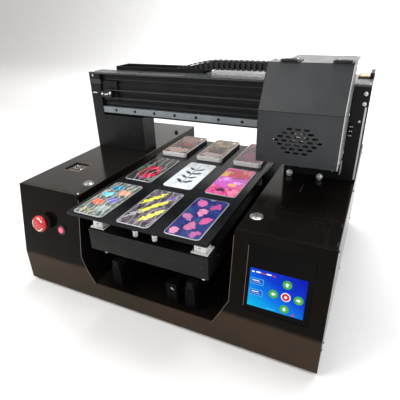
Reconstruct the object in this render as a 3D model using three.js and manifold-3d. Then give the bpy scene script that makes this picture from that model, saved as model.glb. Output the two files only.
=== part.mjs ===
// Benchtop flatbed UV printer: U-shaped base, table on a Y slide with a lift, fixed gantry, print carriage.
// Millimetres. X across, Y from front to back (0 at the decks' front edge), Z up (0 at the panels' bottom).
import * as THREE from 'three';
import { mergeVertices } from 'three/addons/utils/BufferGeometryUtils.js';
import Module from 'manifold-3d';

const wasm = await Module();
wasm.setup();

// ---- driving dimensions ----
const HALF_W = 350;            // half the machine's width
const REAR_Y = 566;            // back of the rear panel
const DECK_Z = 246;            // top of the decks
const BEND_Z = 79;             // where the leaning fascia meets its upright lower strip
const LEAN = 29.5;             // how far the fascia's bend stands in front of the decks' edge
const SHEET = 2.5;             // panel thickness
const GAP = 0.3;               // clearance between separate pieces
const FOOT_H = 8;              // how far the feet stand out below the panels
const CH_HALF = 177;           // half the channel's width
const CH_FLOOR_HALF = 145;     // half the width of its floor, inside the chamfers
const CH_FLOOR_Z = 43;
const CH_CHAMFER_Z = 104;
const REAR_WALL_Z = 119;       // top of the rear panel across the channel, 3 mm under the guide rods' path
const GANTRY_Y0 = 289, GANTRY_Y1 = 345, GANTRY_Z = 448, LEG_TOP_Z = 340;
const COLUMN_X = 317, LEG_X = 192;
const RAIL_Z = 355, BELT_Z = 398, PULLEY_R = 9;
const TABLE = { half: 152, y0: -62, y1: 440, z0: 239, z1: 245 };
const SADDLE = { half: 137, y0: -27, y1: 345, z0: 141, z1: 190 };
const POSTS = [[-117, -4], [117, -4], [-117, 322], [117, 322]];
const POST_NAMES = ['front_left', 'front_right', 'rear_left', 'rear_right'];
const YRAIL_X = 90, YSCREW = { x: 45, z: 76, r: 6, y0: -8, y1: 503.7 };
const CAR = { x0: 158, x1: 318, front: 170, bend: 416, top: 498, topY: 222, bottom: 312 };
const FAN = { x: 238, z: 361, y0: 176, y1: 190, size: 80 };
const ESTOP = { x: -278, up: 79.5 };      // "up" is measured down the fascia from the decks' edge
const BUTTON = { x: -228, up: 89 };
const SCREEN = { x0: 210.5, x1: 313.5, up0: 62, up1: 140 };
const LID = { inner: 187, outer: 345, y0: 8, y1: 98 };
const LOCK = { x: 198, y: 60 };
const MID_Y = (TABLE.y0 + REAR_Y + 3) / 2;

// ---- solids ----
function solid(geometry) {
  const g = geometry.clone();
  g.deleteAttribute('uv');
  g.deleteAttribute('normal');
  const m = mergeVertices(g, 1e-4);
  const idx = m.index.array;
  const tris = [];
  for (let i = 0; i < idx.length; i += 3) {
    const [a, b, c] = [idx[i], idx[i + 1], idx[i + 2]];
    if (a !== b && b !== c && c !== a) tris.push(a, b, c);
  }
  const vertProperties = new Float32Array(m.attributes.position.array);
  const triVerts = new Uint32Array(tris);
  return new wasm.Manifold(new wasm.Mesh({ numProp: 3, vertProperties, triVerts }));
}
const moved = (g, x, y, z) => g.translate(x, y, z);
function box(x0, x1, y0, y1, z0, z1) {
  const g = new THREE.BoxGeometry(x1 - x0, y1 - y0, z1 - z0);
  return solid(moved(g, (x0 + x1) / 2, (y0 + y1) / 2, (z0 + z1) / 2));
}
function extrude(points, depth) {
  const shape = new THREE.Shape(points.map(([a, b]) => new THREE.Vector2(a, b)));
  return new THREE.ExtrudeGeometry(shape, { depth, bevelEnabled: false });
}
function basis(g, xAxis, yAxis, zAxis, origin) {
  const m = new THREE.Matrix4().makeBasis(xAxis, yAxis, zAxis).setPosition(...origin);
  return g.applyMatrix4(m);
}
const X = new THREE.Vector3(1, 0, 0), Y = new THREE.Vector3(0, 1, 0), Z = new THREE.Vector3(0, 0, 1);
const alongX = (yz, x0, x1) => solid(basis(extrude(yz, x1 - x0), Y, Z, X, [x0, 0, 0]));
const alongY = (xz, y0, y1) => solid(basis(extrude(xz, y1 - y0), X, Z, Y.clone().negate(), [0, y1, 0]));
const alongZ = (xy, z0, z1) => solid(moved(extrude(xy, z1 - z0), 0, 0, z0));
function rounded(x0, x1, y0, y1, r, steps = 4) {
  const corners = [[x1 - r, y1 - r, 0], [x0 + r, y1 - r, 1], [x0 + r, y0 + r, 2], [x1 - r, y0 + r, 3]];
  const points = [];
  for (const [cx, cy, quarter] of corners) {
    for (let i = 0; i <= steps; i++) {
      const a = (quarter + i / steps) * Math.PI / 2;
      points.push([cx + r * Math.cos(a), cy + r * Math.sin(a)]);
    }
  }
  return points;
}
// A turned piece: [radius, height] points about an axis through (x, y, z). Closed profiles give rings.
function turned(profile, axis, x, y, z, n = 32) {
  const g = new THREE.LatheGeometry(profile.map(([r, h]) => new THREE.Vector2(r, h)), n);
  if (axis === 'z') g.rotateX(Math.PI / 2);
  if (axis === 'x') g.rotateZ(-Math.PI / 2);
  return solid(moved(g, x, y, z));
}
const disc = (r, h0, h1) => [[0, h0], [r, h0], [r, h1], [0, h1]];
const rodX = (r, x0, x1, y, z, n = 24) => turned(disc(r, x0, x1), 'x', 0, y, z, n);
const rodY = (r, y0, y1, x, z, n = 24) => turned(disc(r, y0, y1), 'y', x, 0, z, n);
const rodZ = (r, z0, z1, x, y, n = 24) => turned(disc(r, z0, z1), 'z', x, y, 0, n);
const join = (...parts) => parts.reduce((a, b) => a.add(b));
const cut = (body, ...tools) => tools.reduce((a, b) => a.subtract(b), body);

// ---- finishes ----
const finish = (color, roughness, metalness) =>
  new THREE.MeshStandardMaterial({ color, roughness, metalness });
const F = {
  gloss: [0x0d0b0b, 0.12, 0.1], satin: [0x2d2d31, 0.45, 0.3], cover: [0x36383a, 0.4, 0.3],
  dark: [0x141416, 0.5, 0.1], lightgrey: [0xb9bcbc, 0.4, 0.4], alu: [0xa9adb0, 0.35, 0.9],
  steel: [0x9aa2a8, 0.25, 1.0], rubber: [0x101010, 0.85, 0], white: [0xdedede, 0.5, 0],
  red: [0xc3161b, 0.35, 0], pink: [0xe0506a, 0.3, 0], screen: [0x1a62c8, 0.1, 0],
};
const root = new THREE.Group();
root.name = 'flatbed_printer';
root.position.set(0, -MID_Y, FOOT_H);

function add(name, body, look, parent = root) {
  const m = body.getMesh();
  const g = new THREE.BufferGeometry();
  g.setAttribute('position', new THREE.BufferAttribute(new Float32Array(m.vertProperties), 3));
  g.setIndex(new THREE.BufferAttribute(new Uint32Array(m.triVerts), 1));
  g.computeBoundingBox();
  const c = g.boundingBox.getCenter(new THREE.Vector3());
  g.translate(-c.x, -c.y, -c.z);
  g.computeVertexNormals();
  const material = finish(...F[look]);
  material.flatShading = true;
  const mesh = new THREE.Mesh(g, material);
  mesh.name = name;
  mesh.position.copy(c);
  parent.add(mesh);
  return mesh;
}
// left and right copies of a piece given for the right-hand side, its X coordinates multiplied by side
const sides = [['left', -1], ['right', 1]];
const span = (side, a, b) => (side > 0 ? [a, b] : [-b, -a]);

// ---- base housing ----
const openingXZ = [[-CH_HALF, 260], [-CH_HALF, CH_CHAMFER_Z], [-CH_FLOOR_HALF, CH_FLOOR_Z],
  [CH_FLOOR_HALF, CH_FLOOR_Z], [CH_HALF, CH_CHAMFER_Z], [CH_HALF, 260]];
const frontIn = SHEET + 0.04;
const insideYZ = (top, rear) => [[frontIn + GAP, top + 10], [frontIn + GAP, top],
  [-LEAN + frontIn + GAP, BEND_Z], [-LEAN + frontIn + GAP, 0], [rear, 0], [rear, top + 10]];
const fasciaAngle = Math.atan2(LEAN, DECK_Z - BEND_Z);
const consoleFrame = new THREE.Matrix4().makeRotationX(-fasciaAngle).setPosition(0, 0, DECK_Z);
// A piece of the console, drawn on the leaning fascia: x across, y = -(height above the fascia), z = -(up)
const onConsole = (g) => solid(g.applyMatrix4(consoleFrame));
function consoleDisc(profile, x, up, n = 32) {
  const g = new THREE.LatheGeometry(profile.map(([r, h]) => new THREE.Vector2(r, h)), n);
  return onConsole(moved(g.rotateX(Math.PI), x, 0, -up));
}
function consolePlate(x0, x1, up0, up1, low, high, r) {
  const g = extrude(rounded(x0, x1, -up1, -up0, r), high - low);
  return onConsole(basis(g, X, Z, Y.clone().negate(), [0, -low, 0]));
}

let fascia = alongX([[0, DECK_Z], [-LEAN, BEND_Z], [-LEAN, 0], [-LEAN + frontIn, 0],
  [-LEAN + frontIn, BEND_Z], [frontIn, DECK_Z]], -HALF_W, HALF_W);
fascia = cut(fascia, alongY(openingXZ, -80, 40), consoleDisc(disc(11.3, -20, 20), ESTOP.x, ESTOP.up),
  consoleDisc(disc(9.8, -20, 20), BUTTON.x, BUTTON.up),
  consolePlate(205, 322, 17, 150, -20, 20, 6));
const buttonRing = [[8.1, -16], [9.9, -16], [9.9, -1], [11.5, -1], [11.2, 2.2], [8.1, 2.2], [8.1, -16]];
add('front_fascia', join(fascia, consoleDisc(buttonRing, BUTTON.x, BUTTON.up)), 'gloss');

const sideYZ = [[frontIn + GAP, DECK_Z - 3.3], [-LEAN + frontIn + GAP, BEND_Z], [-LEAN + frontIn + GAP, 0],
  [REAR_Y - SHEET - GAP, 0], [REAR_Y - SHEET - GAP, DECK_Z - 3.3]];
for (const [name, side] of sides) {
  const [a, b] = span(side, HALF_W - SHEET, HALF_W);
  let panel = alongX(sideYZ, a, b);
  for (let row = 0; row < 8; row++) {
    const z = 70 + row * 12;
    panel = cut(panel, box(a - 1, b + 1, 400, 470, z, z + 4.5), box(a - 1, b + 1, 478, 540, z, z + 4.5));
  }
  add(`side_panel_${name}`, panel, 'gloss');
}

const inletHole = box(-300.5, -251.5, 550, 580, 59, 89);
const rearNotch = box(-CH_HALF, CH_HALF, 550, 580, REAR_WALL_Z, 260);
let rear = cut(box(-HALF_W, HALF_W, REAR_Y - SHEET, REAR_Y, 0, DECK_Z - 3.3), rearNotch, inletHole);
for (let row = 0; row < 9; row++) {
  rear = cut(rear, box(200, 320, 550, 580, 70 + row * 12, 75 + row * 12));
}
add('rear_panel', rear, 'gloss');

const liner = [[-CH_HALF, 242.7], [-CH_HALF, CH_CHAMFER_Z], [-CH_FLOOR_HALF, CH_FLOOR_Z],
  [CH_FLOOR_HALF, CH_FLOOR_Z], [CH_HALF, CH_CHAMFER_Z], [CH_HALF, 242.7], [CH_HALF + 2, 242.7],
  [CH_HALF + 2, CH_CHAMFER_Z - 0.5], [CH_FLOOR_HALF + 1, CH_FLOOR_Z - 2],
  [-CH_FLOOR_HALF - 1, CH_FLOOR_Z - 2], [-CH_HALF - 2, CH_CHAMFER_Z - 0.5], [-CH_HALF - 2, 242.7]];
const insideBase = alongX(insideYZ(DECK_Z - 3, REAR_Y - SHEET - GAP), -200, 200);
add('channel_liner', alongY(liner, -40, 600).intersect(insideBase), 'gloss');
add('base_pan', box(-347.2, 347.2, -LEAN + 3.2, REAR_Y - SHEET - GAP, 1, 4), 'satin');

for (const [name, side] of sides) {
  const plan = (a, b, y0, y1, z0, z1) => box(...span(side, a, b), y0, y1, z0, z1);
  let deck = plan(CH_HALF, HALF_W, frontIn + GAP, REAR_Y, DECK_Z - 3, DECK_Z);
  deck = cut(deck, plan(LID.inner, LID.outer, LID.y0, LID.y1, 230, 260));
  if (side < 0) deck = cut(deck, box(-322, -270, 106, 160, 230, 260));
  add(`deck_${name}`, deck, 'gloss');
  const [lidX0, lidX1] = span(side, LID.inner + GAP, LID.outer - GAP);
  const lid = alongZ(rounded(lidX0, lidX1, LID.y0 + GAP, LID.y1 - GAP, 2, 2), DECK_Z - 3, DECK_Z);
  add(`service_lid_${name}`, cut(lid, rodZ(5.3, 230, 260, side * LOCK.x, LOCK.y)), 'gloss');
  // lock: head with a key slot, shaft through the lid and a cam under it
  const lockX = side * LOCK.x;
  const lockHead = [[0, 246.3], [10.5, 246.3], [10.5, 248.2], [8.5, 249.6], [0, 249.6]];
  let lock = join(turned(lockHead, 'z', lockX, LOCK.y, 0), rodZ(5, 239, 247, lockX, LOCK.y),
    plan(LOCK.x - 4, LOCK.x + 4, LOCK.y - 5, LOCK.y + 18, 239, 242));
  lock = cut(lock, box(lockX - 0.8, lockX + 0.8, LOCK.y - 4.5, LOCK.y + 4.5, 246, 252));
  add(`cam_lock_${name}`, lock, 'steel');
  for (const [end, y] of [['front', 30], ['rear', 520]]) {
    const foot = turned([[0, -8], [16, -8], [18, -5], [18, 0.7], [0, 0.7]], 'z', side * 300, y, 0, 24);
    add(`foot_${end}_${name}`, foot, 'rubber');
  }
}

let port = cut(box(-321.7, -270.3, 106.3, 159.7, 234, 245.6), box(-319.7, -272.3, 108.3, 157.7, 240, 250));
port = join(port, box(-306, -288, 124, 140, 239, 243.4));
add('port_pocket', cut(port, box(-303.5, -290.5, 126.5, 137.5, 237, 250)), 'alu');
let inlet = join(box(-304, -248, REAR_Y + GAP, REAR_Y + 3, 55.5, 92.5),
  box(-300, -252, 540, REAR_Y + 1, 59.5, 88.5));
const socketXZ = [[-294, 62], [-258, 62], [-258, 80], [-263, 85], [-289, 85], [-294, 80]];
inlet = cut(inlet, alongY(socketXZ, 548, 580));
for (const x of [-286, -276, -266]) inlet = join(inlet, box(x - 1, x + 1, 547, 564, 69, 75));
add('power_inlet', inlet, 'dark');

// ---- console ----
const collar = [[7.4, -22], [10.9, -22], [10.9, 0.4], [16, 0.4], [15, 6], [7.4, 6], [7.4, -22]];
add('estop_collar', consoleDisc(collar, ESTOP.x, ESTOP.up), 'dark');
add('estop_stem', consoleDisc(disc(7, -18, 14), ESTOP.x, ESTOP.up), 'dark');
const mushroom = [[0, 14.4], [7.3, 14.4], [7.3, 10.5], [13, 10.5], [17.8, 12], [19.5, 15.5], [18.8, 19.5],
  [15.5, 22.6], [8, 23.4], [0, 23.6]];
add('estop_head', consoleDisc(mushroom, ESTOP.x, ESTOP.up), 'red');
const plunger = [[0, -12], [7.8, -12], [7.8, 3.6], [6.6, 4.4], [0, 4.4]];
add('power_button', consoleDisc(plunger, BUTTON.x, BUTTON.up), 'pink');
const bezelHole = consolePlate(SCREEN.x0 - GAP, SCREEN.x1 + GAP, SCREEN.up0 - GAP, SCREEN.up1 + GAP,
  -3.5, 20, 1);
add('screen_bezel', cut(consolePlate(205.3, 321.7, 17.3, 149.7, -6, -0.6, 5.7), bezelHole), 'dark');
add('screen_glass', consolePlate(SCREEN.x0, SCREEN.x1, SCREEN.up0, SCREEN.up1, -3.2, -0.8, 1), 'screen');

// ---- table axis ----
function railXZ(cx, w, z0, z1, neck) {
  const h = z1 - z0, a = w / 2, b = a - neck;
  const right = [[a, 0], [a, 0.3 * h], [b, 0.45 * h], [b, 0.65 * h], [a, 0.8 * h], [a, h]];
  const left = right.map(([x, z]) => [cx - x, z0 + z]).reverse();
  return right.map(([x, z]) => [cx + x, z0 + z]).concat(left);
}
for (const [name, side] of sides) {
  const x = side * YRAIL_X;
  const bearer = [[x - 17, 43.3], [x + 17, 43.3], [x + 17, 47], [x + 11, 50], [x + 11, 96], [x - 11, 96],
    [x - 11, 50], [x - 17, 47]];
  let rail = join(alongY(bearer, -16, 556), alongY(railXZ(x, 15, 95.9, 111, 1.6), -16, 556));
  for (let y = 10; y < 550; y += 60) rail = cut(rail, rodZ(3.6, 107, 120, x, y, 12));
  add(`y_rail_${name}`, rail, 'steel');
  let block = box(x - 17, x + 17, 70, 230, 99, 140.7);
  block = cut(block, box(x - 8.2, x + 8.2, 60, 240, 90, 111.8), box(x - 11.6, x + 11.6, 60, 240, 90, 99.5));
  add(`y_block_${name}`, block, 'alu');
}
// a belt's outline round two pulleys at a0 and a1
const loop = (a0, a1, z, r, n = 12) => {
  const points = [];
  for (const [a, side] of [[a1, 1], [a0, -1]]) {
    for (let i = 0; i <= n; i++) {
      const turn = i * Math.PI / n;
      points.push([a + side * r * Math.sin(turn), z - side * r * Math.cos(turn)]);
    }
  }
  return points;
};
function pulley(axis, r, w0, w1, x, y, z, shaft) {
  const p = [[0, shaft[0]], [3, shaft[0]], [3, w0 - 1.6], [r + 3, w0 - 1.6], [r + 3, w0 - 0.4], [r, w0 - 0.4],
    [r, w1 + 0.4], [r + 3, w1 + 0.4], [r + 3, w1 + 1.6], [3, w1 + 1.6], [3, shaft[1]], [0, shaft[1]]];
  return turned(p, axis, x, y, z, 36);
}
const coupling = rodY(9, 486, 496, YSCREW.x, YSCREW.z);
add('y_screw', join(rodY(YSCREW.r, YSCREW.y0, YSCREW.y1, YSCREW.x, YSCREW.z), coupling), 'steel');
const yBearing = join(box(29, 61, -12, 12, 43.3, 49), box(33, 57, -12, 6, 48, 92));
add('y_bearing', cut(yBearing, rodY(6.4, -20, 20, YSCREW.x, YSCREW.z)), 'alu');
const yMotor = join(box(24, 66, 504, 546, 55, 97), box(25, 65, 506, 558, 43.3, 56));
add('y_motor', yMotor, 'dark');

// saddle: an inverted tray with two ribs over the bearing blocks, a motor plate and the screw's nut
const S = SADDLE;
let saddle = cut(box(-S.half, S.half, S.y0, S.y1, S.z0, S.z1),
  box(-S.half + 4, S.half - 4, S.y0 + 4, S.y1 - 4, S.z0 - 1, S.z1 - 5));
for (const x of [-YRAIL_X, YRAIL_X]) {
  saddle = join(saddle, box(x - 6, x + 6, S.y0 + 2, S.y1 - 2, S.z0, S.z1 - 2));
}
saddle = join(saddle, box(-86, 86, 112, 188, S.z0, S.z0 + 5), box(33, 57, 138, 178, 64, S.z1 - 2));
saddle = cut(saddle, rodY(6.5, 136, 180, YSCREW.x, YSCREW.z), rodZ(12, 130, 200, 0, 150));
for (const [x, y] of POSTS) saddle = cut(saddle, rodZ(6, 130, 200, x, y));
add('saddle', saddle, 'dark');
const liftBody = join(box(-21, 21, 129, 171, 101, 140.7), rodZ(11, 140, 143, 0, 150));
add('lift_motor', cut(liftBody, rodZ(4.6, 90, 150, 0, 150)), 'dark');
add('lift_screw', join(rodZ(4, 90, 236, 0, 150, 16), rodZ(12, 230, 238.7, 0, 150)), 'steel');

// ---- table ----
const T = TABLE;
add('table_plate', alongZ(rounded(-T.half, T.half, T.y0, T.y1, 5), T.z0, T.z1), 'gloss');
POSTS.forEach(([x, y], i) => {
  const out = y < 100 ? 1 : -1;
  const along = (a, b) => (out > 0 ? [y + a, y + b] : [y - b, y - a]);
  const post = join(box(x - 11.5, x + 11.5, ...along(-15, 9), 193, 238.7),
    box(x - 17, x + 17, ...along(-19, 14), 191, 194), rodZ(5, 122, 192, x, y));
  add(`corner_post_${POST_NAMES[i]}`, post, 'white');
});
for (const [name, side] of sides) {
  const knob = [[0, 196], [4.6, 196], [5.4, 197], [5.4, 209], [4.6, 210], [2.5, 210], [2.5, 238.7], [0, 238.7]];
  add(`level_knob_${name}`, turned(knob, 'z', side * 22, -20, 0, 28), 'steel');
}

// ---- gantry ----
for (const [name, side] of sides) {
  let frame = join(box(...span(side, COLUMN_X, HALF_W), GANTRY_Y0, GANTRY_Y1, DECK_Z + GAP, GANTRY_Z - GAP),
    box(...span(side, LEG_X, COLUMN_X + 1), GANTRY_Y0, GANTRY_Y1, DECK_Z + GAP, LEG_TOP_Z - GAP));
  const [hollowX0, hollowX1] = span(side, LEG_X + 8, COLUMN_X - 8);
  frame = cut(frame, box(hollowX0, hollowX1, GANTRY_Y0 + 8, GANTRY_Y1 + 1, DECK_Z + 8, LEG_TOP_Z - 8));
  for (const z of side < 0 ? [443] : [435, 415]) frame = cut(frame, rodY(3.4, 285, 293, side * 340, z, 16));
  add(`gantry_side_${name}`, frame, 'satin');
}
const beamEnd = COLUMN_X - GAP;
let beam = cut(box(-beamEnd, beamEnd, 300, GANTRY_Y1, LEG_TOP_Z, GANTRY_Z - GAP),
  box(-330, 330, 306, 339, 346, 442));
for (const z of [376, 424]) beam = cut(beam, box(-330, 330, 295, 303, z, z + 7));
beam = join(beam, cut(box(-316, -266, 294.4, 301, 380, 430), rodY(3.4, 290, 305, -292, BELT_Z, 20)));
add('x_beam', cut(beam, rodY(6, 290, 350, 296, BELT_Z)), 'satin');
const plateXY = [[-HALF_W, GANTRY_Y0], [HALF_W, GANTRY_Y0], [HALF_W, 430], [-36, 430], [-36, GANTRY_Y1],
  [-HALF_W, GANTRY_Y1]];
let plate = alongZ(plateXY, GANTRY_Z, GANTRY_Z + 3);
for (const x of [-340, -60, 0, 330]) plate = cut(plate, rodZ(3, 440, 460, x, 297, 12));
for (const x of [322, 334]) plate = cut(plate, box(x - 4, x + 4, 291.5, 293, 440, 460));
add('gantry_top_plate', plate, 'lightgrey');
const xRailYZ = [[293, -8], [295, -6.6], [297, -6.6], [299.7, -8], [299.7, 8], [297, 6.6], [295, 6.6],
  [293, 8], [289.5, 8], [289.5, -8]];
let xRail = alongX(xRailYZ.map(([y, z]) => [y, z + RAIL_Z]), -316, 316);
for (let x = -274; x < 300; x += 60) xRail = cut(xRail, rodY(3.8, 280, 293.5, x, RAIL_Z, 16));
add('x_rail', xRail, 'steel');
const xLoop = (r) => loop(-292, 296, BELT_Z, r);
const xBelt = cut(alongY(xLoop(PULLEY_R + 1.8), 284.5, 291.5), alongY(xLoop(PULLEY_R + 0.3), 280, 296));
add('x_belt', xBelt, 'rubber');
add('x_idler_pulley', pulley('y', PULLEY_R, 284.1, 291.9, -292, 0, BELT_Z, [281, 299.5]), 'alu');
add('x_drive_pulley', pulley('y', PULLEY_R, 284.1, 291.9, 296, 0, BELT_Z, [281, 344.7]), 'alu');
add('x_motor', join(box(275, 317, 345.3, 385, 377, 419), box(278, 314, 384, 388, 380, 416)), 'dark');

// cable tray behind the beam, and the chain that climbs out of it over the top plate to the carriage
const tray = cut(box(-300, -40, GANTRY_Y1 + GAP, 405, 424, 461),
  box(-298, -30, GANTRY_Y1 + 2.3, 403, 426, 470));
add('chain_tray', tray, 'dark');
const chainLine = [];
for (let i = 0; i <= 14; i++) {
  const t = i / 14;
  chainLine.push([-190 + 190 * t, 427 + 33 * t * t * (3 - 2 * t)]);
}
const chainPath = [[-290, 427], ...chainLine, [166, 460]];
const chainTop = chainPath.map(([x, z]) => [x - (z > 427 && z < 460 ? 3.96 : 0), z + 22]).reverse();
const chainXZ = [...chainPath, ...chainTop];
add('cable_chain', alongY(chainXZ, 349.5, 377.5), 'rubber');

// ---- print carriage ----
const C = CAR;
let mount = join(box(168, 308, 270, 278.7, C.bottom, 470), box(162, 314, 174, 271, C.bottom, C.bottom + 4),
  box(168, 178, 270, 381, 464.5, 482), box(232, 246, 278, 293, 382, 393));
mount = cut(mount, box(199.7, 262.3, 193.7, 262.3, 300, 330),
  box(269.7, 306.3, 193.7, 262.3, 300, 330), box(225, 250, 283, 295, 386.6, 389.6));
add('carriage_mount', mount, 'alu');
const xBlock = box(178, 298, 279, 298.2, 340.6, 372);
add('x_block', cut(xBlock, box(170, 306, 289.1, 300, RAIL_Z - 8.4, RAIL_Z + 8.4)), 'steel');
const shellYZ = [[C.front + 3.2, C.bottom], [C.front + 3.2, C.bend - 0.4], [C.topY + 2.6, C.top],
  [284, C.top], [284, 440], [269, 440], [269, C.bottom]];
const topPlate = box(188, C.x1, C.topY + 3, 350, C.top - 2.5, C.top);
let shell = join(alongX(shellYZ, C.x0, C.x0 + 2.5), alongX(shellYZ, C.x1 - 2.5, C.x1), topPlate,
  box(C.x0, 189, C.topY + 3, 262, C.top - 2.5, C.top));
for (let i = 0; i < 6; i++) shell = cut(shell, box(150, 330, 200, 250, 345 + i * 12, 349 + i * 12));
for (const x of [201, 297]) {
  shell = join(shell, box(x - 18, x + 18, C.topY + 5, 262, C.top - 1, C.top + 2.6));
  for (const side of [-1, 1]) {
    const [a, b] = span(side, 15.3, 18);
    shell = join(shell, box(x + a, x + b, C.topY - 3.5, C.topY + 9, C.top + 1, C.top + 5.5));
  }
  shell = join(shell, rodX(1.2, x - 17, x + 17, C.topY - 1.6, C.top + 3.4, 12));
}
add('carriage_shell', shell, 'lightgrey');
const flapYZ = [[C.front, C.bottom], [C.front, C.bend], [C.topY, C.top], [C.topY + 2.2, C.top],
  [C.front + 2.5, C.bend - 1], [C.front + 2.5, C.bottom]];
let flap = alongX(flapYZ.slice().reverse(), C.x0, C.x1);
[3, 4, 5, 6, 5, 4, 3].forEach((count, row) => {
  for (let i = 0; i < count; i++) {
    const x = FAN.x + (i - (count - 1) / 2) * 16.5, z = FAN.z + (3 - row) * 7.8;
    flap = cut(flap, alongY(rounded(x - 5.5, x + 5.5, z - 2.2, z + 2.2, 2.1, 2), 160, 180));
  }
});
for (const x of [201, 297]) {
  flap = join(flap, rodX(3.2, x - 15, x + 15, C.topY - 1.6, C.top + 3.4, 16),
    box(x - 15, x + 15, C.topY - 1.4, C.topY + 0.6, C.top - 2, C.top + 2));
}
flap = cut(flap, rodX(1.5, 150, 330, C.topY - 1.6, C.top + 3.4, 12));
add('carriage_flap', flap, 'cover');
const half = FAN.size / 2;
let fan = cut(box(FAN.x - half, FAN.x + half, FAN.y0, FAN.y1, FAN.z - half, FAN.z + half),
  rodY(37.5, 170, 200, FAN.x, FAN.z, 40));
fan = join(fan, rodY(10, FAN.y1 - 3, FAN.y1, FAN.x, FAN.z),
  box(FAN.x - half, FAN.x + half, FAN.y0, FAN.y1, C.bottom + 4.3, FAN.z - half + 1),
  box(FAN.x - 39, FAN.x + 39, FAN.y1 - 3, FAN.y1, FAN.z - 2.5, FAN.z + 2.5),
  box(FAN.x - 2.5, FAN.x + 2.5, FAN.y1 - 3, FAN.y1, FAN.z - 39, FAN.z + 39));
add('fan_frame', fan, 'dark');
let rotor = rodY(16, FAN.y0 + 1, FAN.y1 - 3.5, FAN.x, FAN.z, 28);
for (let i = 0; i < 7; i++) {
  const blade = new THREE.BoxGeometry(22, 1.6, 13);
  blade.rotateX(0.6).translate(25, 0, 0).rotateY(i * 2 * Math.PI / 7);
  rotor = join(rotor, solid(moved(blade, FAN.x, (FAN.y0 + FAN.y1) / 2 - 1.3, FAN.z)));
}
add('fan_rotor', rotor, 'dark');
const head = join(box(200, 262, 194, 262, 304, 352), box(205, 257, 200, 256, 300, 305),
  box(212, 250, 206, 250, 351, 380));
add('print_head', head, 'dark');
let lamp = box(270, 306, 194, 262, 306, 372);
for (let i = 0; i < 9; i++) lamp = cut(lamp, box(265, 310, 198.5 + i * 7, 202 + i * 7, 340, 380));
add('uv_lamp', lamp, 'alu');

export default root;
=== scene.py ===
import math
from itertools import product

import bmesh
import bpy
from mathutils import Matrix, Vector


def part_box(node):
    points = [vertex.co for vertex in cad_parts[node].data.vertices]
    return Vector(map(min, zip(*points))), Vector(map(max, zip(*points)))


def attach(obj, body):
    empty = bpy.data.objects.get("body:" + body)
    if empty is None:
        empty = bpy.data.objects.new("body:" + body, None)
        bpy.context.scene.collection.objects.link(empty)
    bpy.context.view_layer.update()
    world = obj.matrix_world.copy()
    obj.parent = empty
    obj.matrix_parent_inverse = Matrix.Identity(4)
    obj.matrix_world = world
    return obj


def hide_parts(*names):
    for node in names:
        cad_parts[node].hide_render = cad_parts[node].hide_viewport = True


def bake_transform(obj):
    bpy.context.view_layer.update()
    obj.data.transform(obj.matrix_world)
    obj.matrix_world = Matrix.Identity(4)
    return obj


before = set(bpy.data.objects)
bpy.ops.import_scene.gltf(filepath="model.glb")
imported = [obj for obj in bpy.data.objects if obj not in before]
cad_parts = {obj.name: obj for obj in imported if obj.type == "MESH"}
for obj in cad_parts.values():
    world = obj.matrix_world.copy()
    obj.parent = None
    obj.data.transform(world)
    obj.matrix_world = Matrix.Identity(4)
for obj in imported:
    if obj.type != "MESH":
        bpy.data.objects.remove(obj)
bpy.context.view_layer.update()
TAU = 2 * math.pi

# ---------------------------------------------------------------- places
# Pieces are drawn in millimetres in the machine's own frame: X across, Y back from the decks' front edge,
# Z up from the panels' lower edge. OX, OY and OZ, in metres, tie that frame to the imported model.
DECK_Z, REAR_Y = 246, 566  # the decks' top and the rear panel's back face
OX = (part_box("deck_left")[0].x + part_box("deck_right")[1].x) / 2
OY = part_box("rear_panel")[1].y - REAR_Y / 1000
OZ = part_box("deck_left")[1].z - DECK_Z / 1000


def mm(x, y, z):
    return Vector((OX + x / 1000, OY + y / 1000, OZ + z / 1000))


def span(node):
    """A CAD node's lowest and highest corner, in the machine's millimetres."""
    lo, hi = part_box(node)
    org = Vector((OX, OY, OZ))
    return (lo - org) * 1000, (hi - org) * 1000


def node_centre(node):
    lo, hi = span(node)
    return (lo + hi) / 2


def place(origin, out, up):
    """A matrix whose local Z points out of a face at origin and whose local Y points up along it."""
    z = Vector(out).normalized()
    x = Vector(up).cross(z).normalized()
    y = z.cross(x)
    m = Matrix((x, y, z)).transposed().to_4x4()
    m.translation = Vector(origin)
    return m


UP, DOWN = (0, 0, 1), (0, 0, -1)
FRONT, BACK, LEFT, RIGHT = (0, -1, 0), (0, 1, 0), (-1, 0, 0), (1, 0, 0)
LEAN_RUN, LEAN_RISE = 29.5, 167.0  # how far the leaning fascia comes forward, over how much height
LEAN = math.hypot(LEAN_RUN, LEAN_RISE)
FASCIA_OUT = (0, -LEAN_RISE / LEAN, LEAN_RUN / LEAN)
FASCIA_UP = (0, LEAN_RUN / LEAN, LEAN_RISE / LEAN)


def on_top(x, y, z):
    return place((x, y, z), UP, BACK)


def on_front(x, y, z):
    return place((x, y, z), FRONT, UP)


def on_back(x, y, z):
    return place((x, y, z), BACK, UP)


def below(x, y, z):
    return place((x, y, z), DOWN, BACK)


def off(m, x, y, z=0):
    """A place moved along its own axes."""
    return m @ Matrix.Translation((x, y, z))


def grid(*axes):
    """Every point of a grid. An axis is one number or a tuple of them."""
    return product(*(a if isinstance(a, tuple) else (a,) for a in axes))


def console(x, down, height=0.0):
    """The place on the leaning fascia that is this far down from the decks' edge."""
    p = Vector((x, 0, DECK_Z)) - Vector(FASCIA_UP) * down + Vector(FASCIA_OUT) * height
    return place(p, FASCIA_OUT, FASCIA_UP)


# ---------------------------------------------------------------- materials
def nodes_of(name):
    mat = bpy.data.materials.new(name)
    mat.use_nodes = True
    tree = mat.node_tree
    return mat, tree, tree.nodes["Principled BSDF"]


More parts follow.
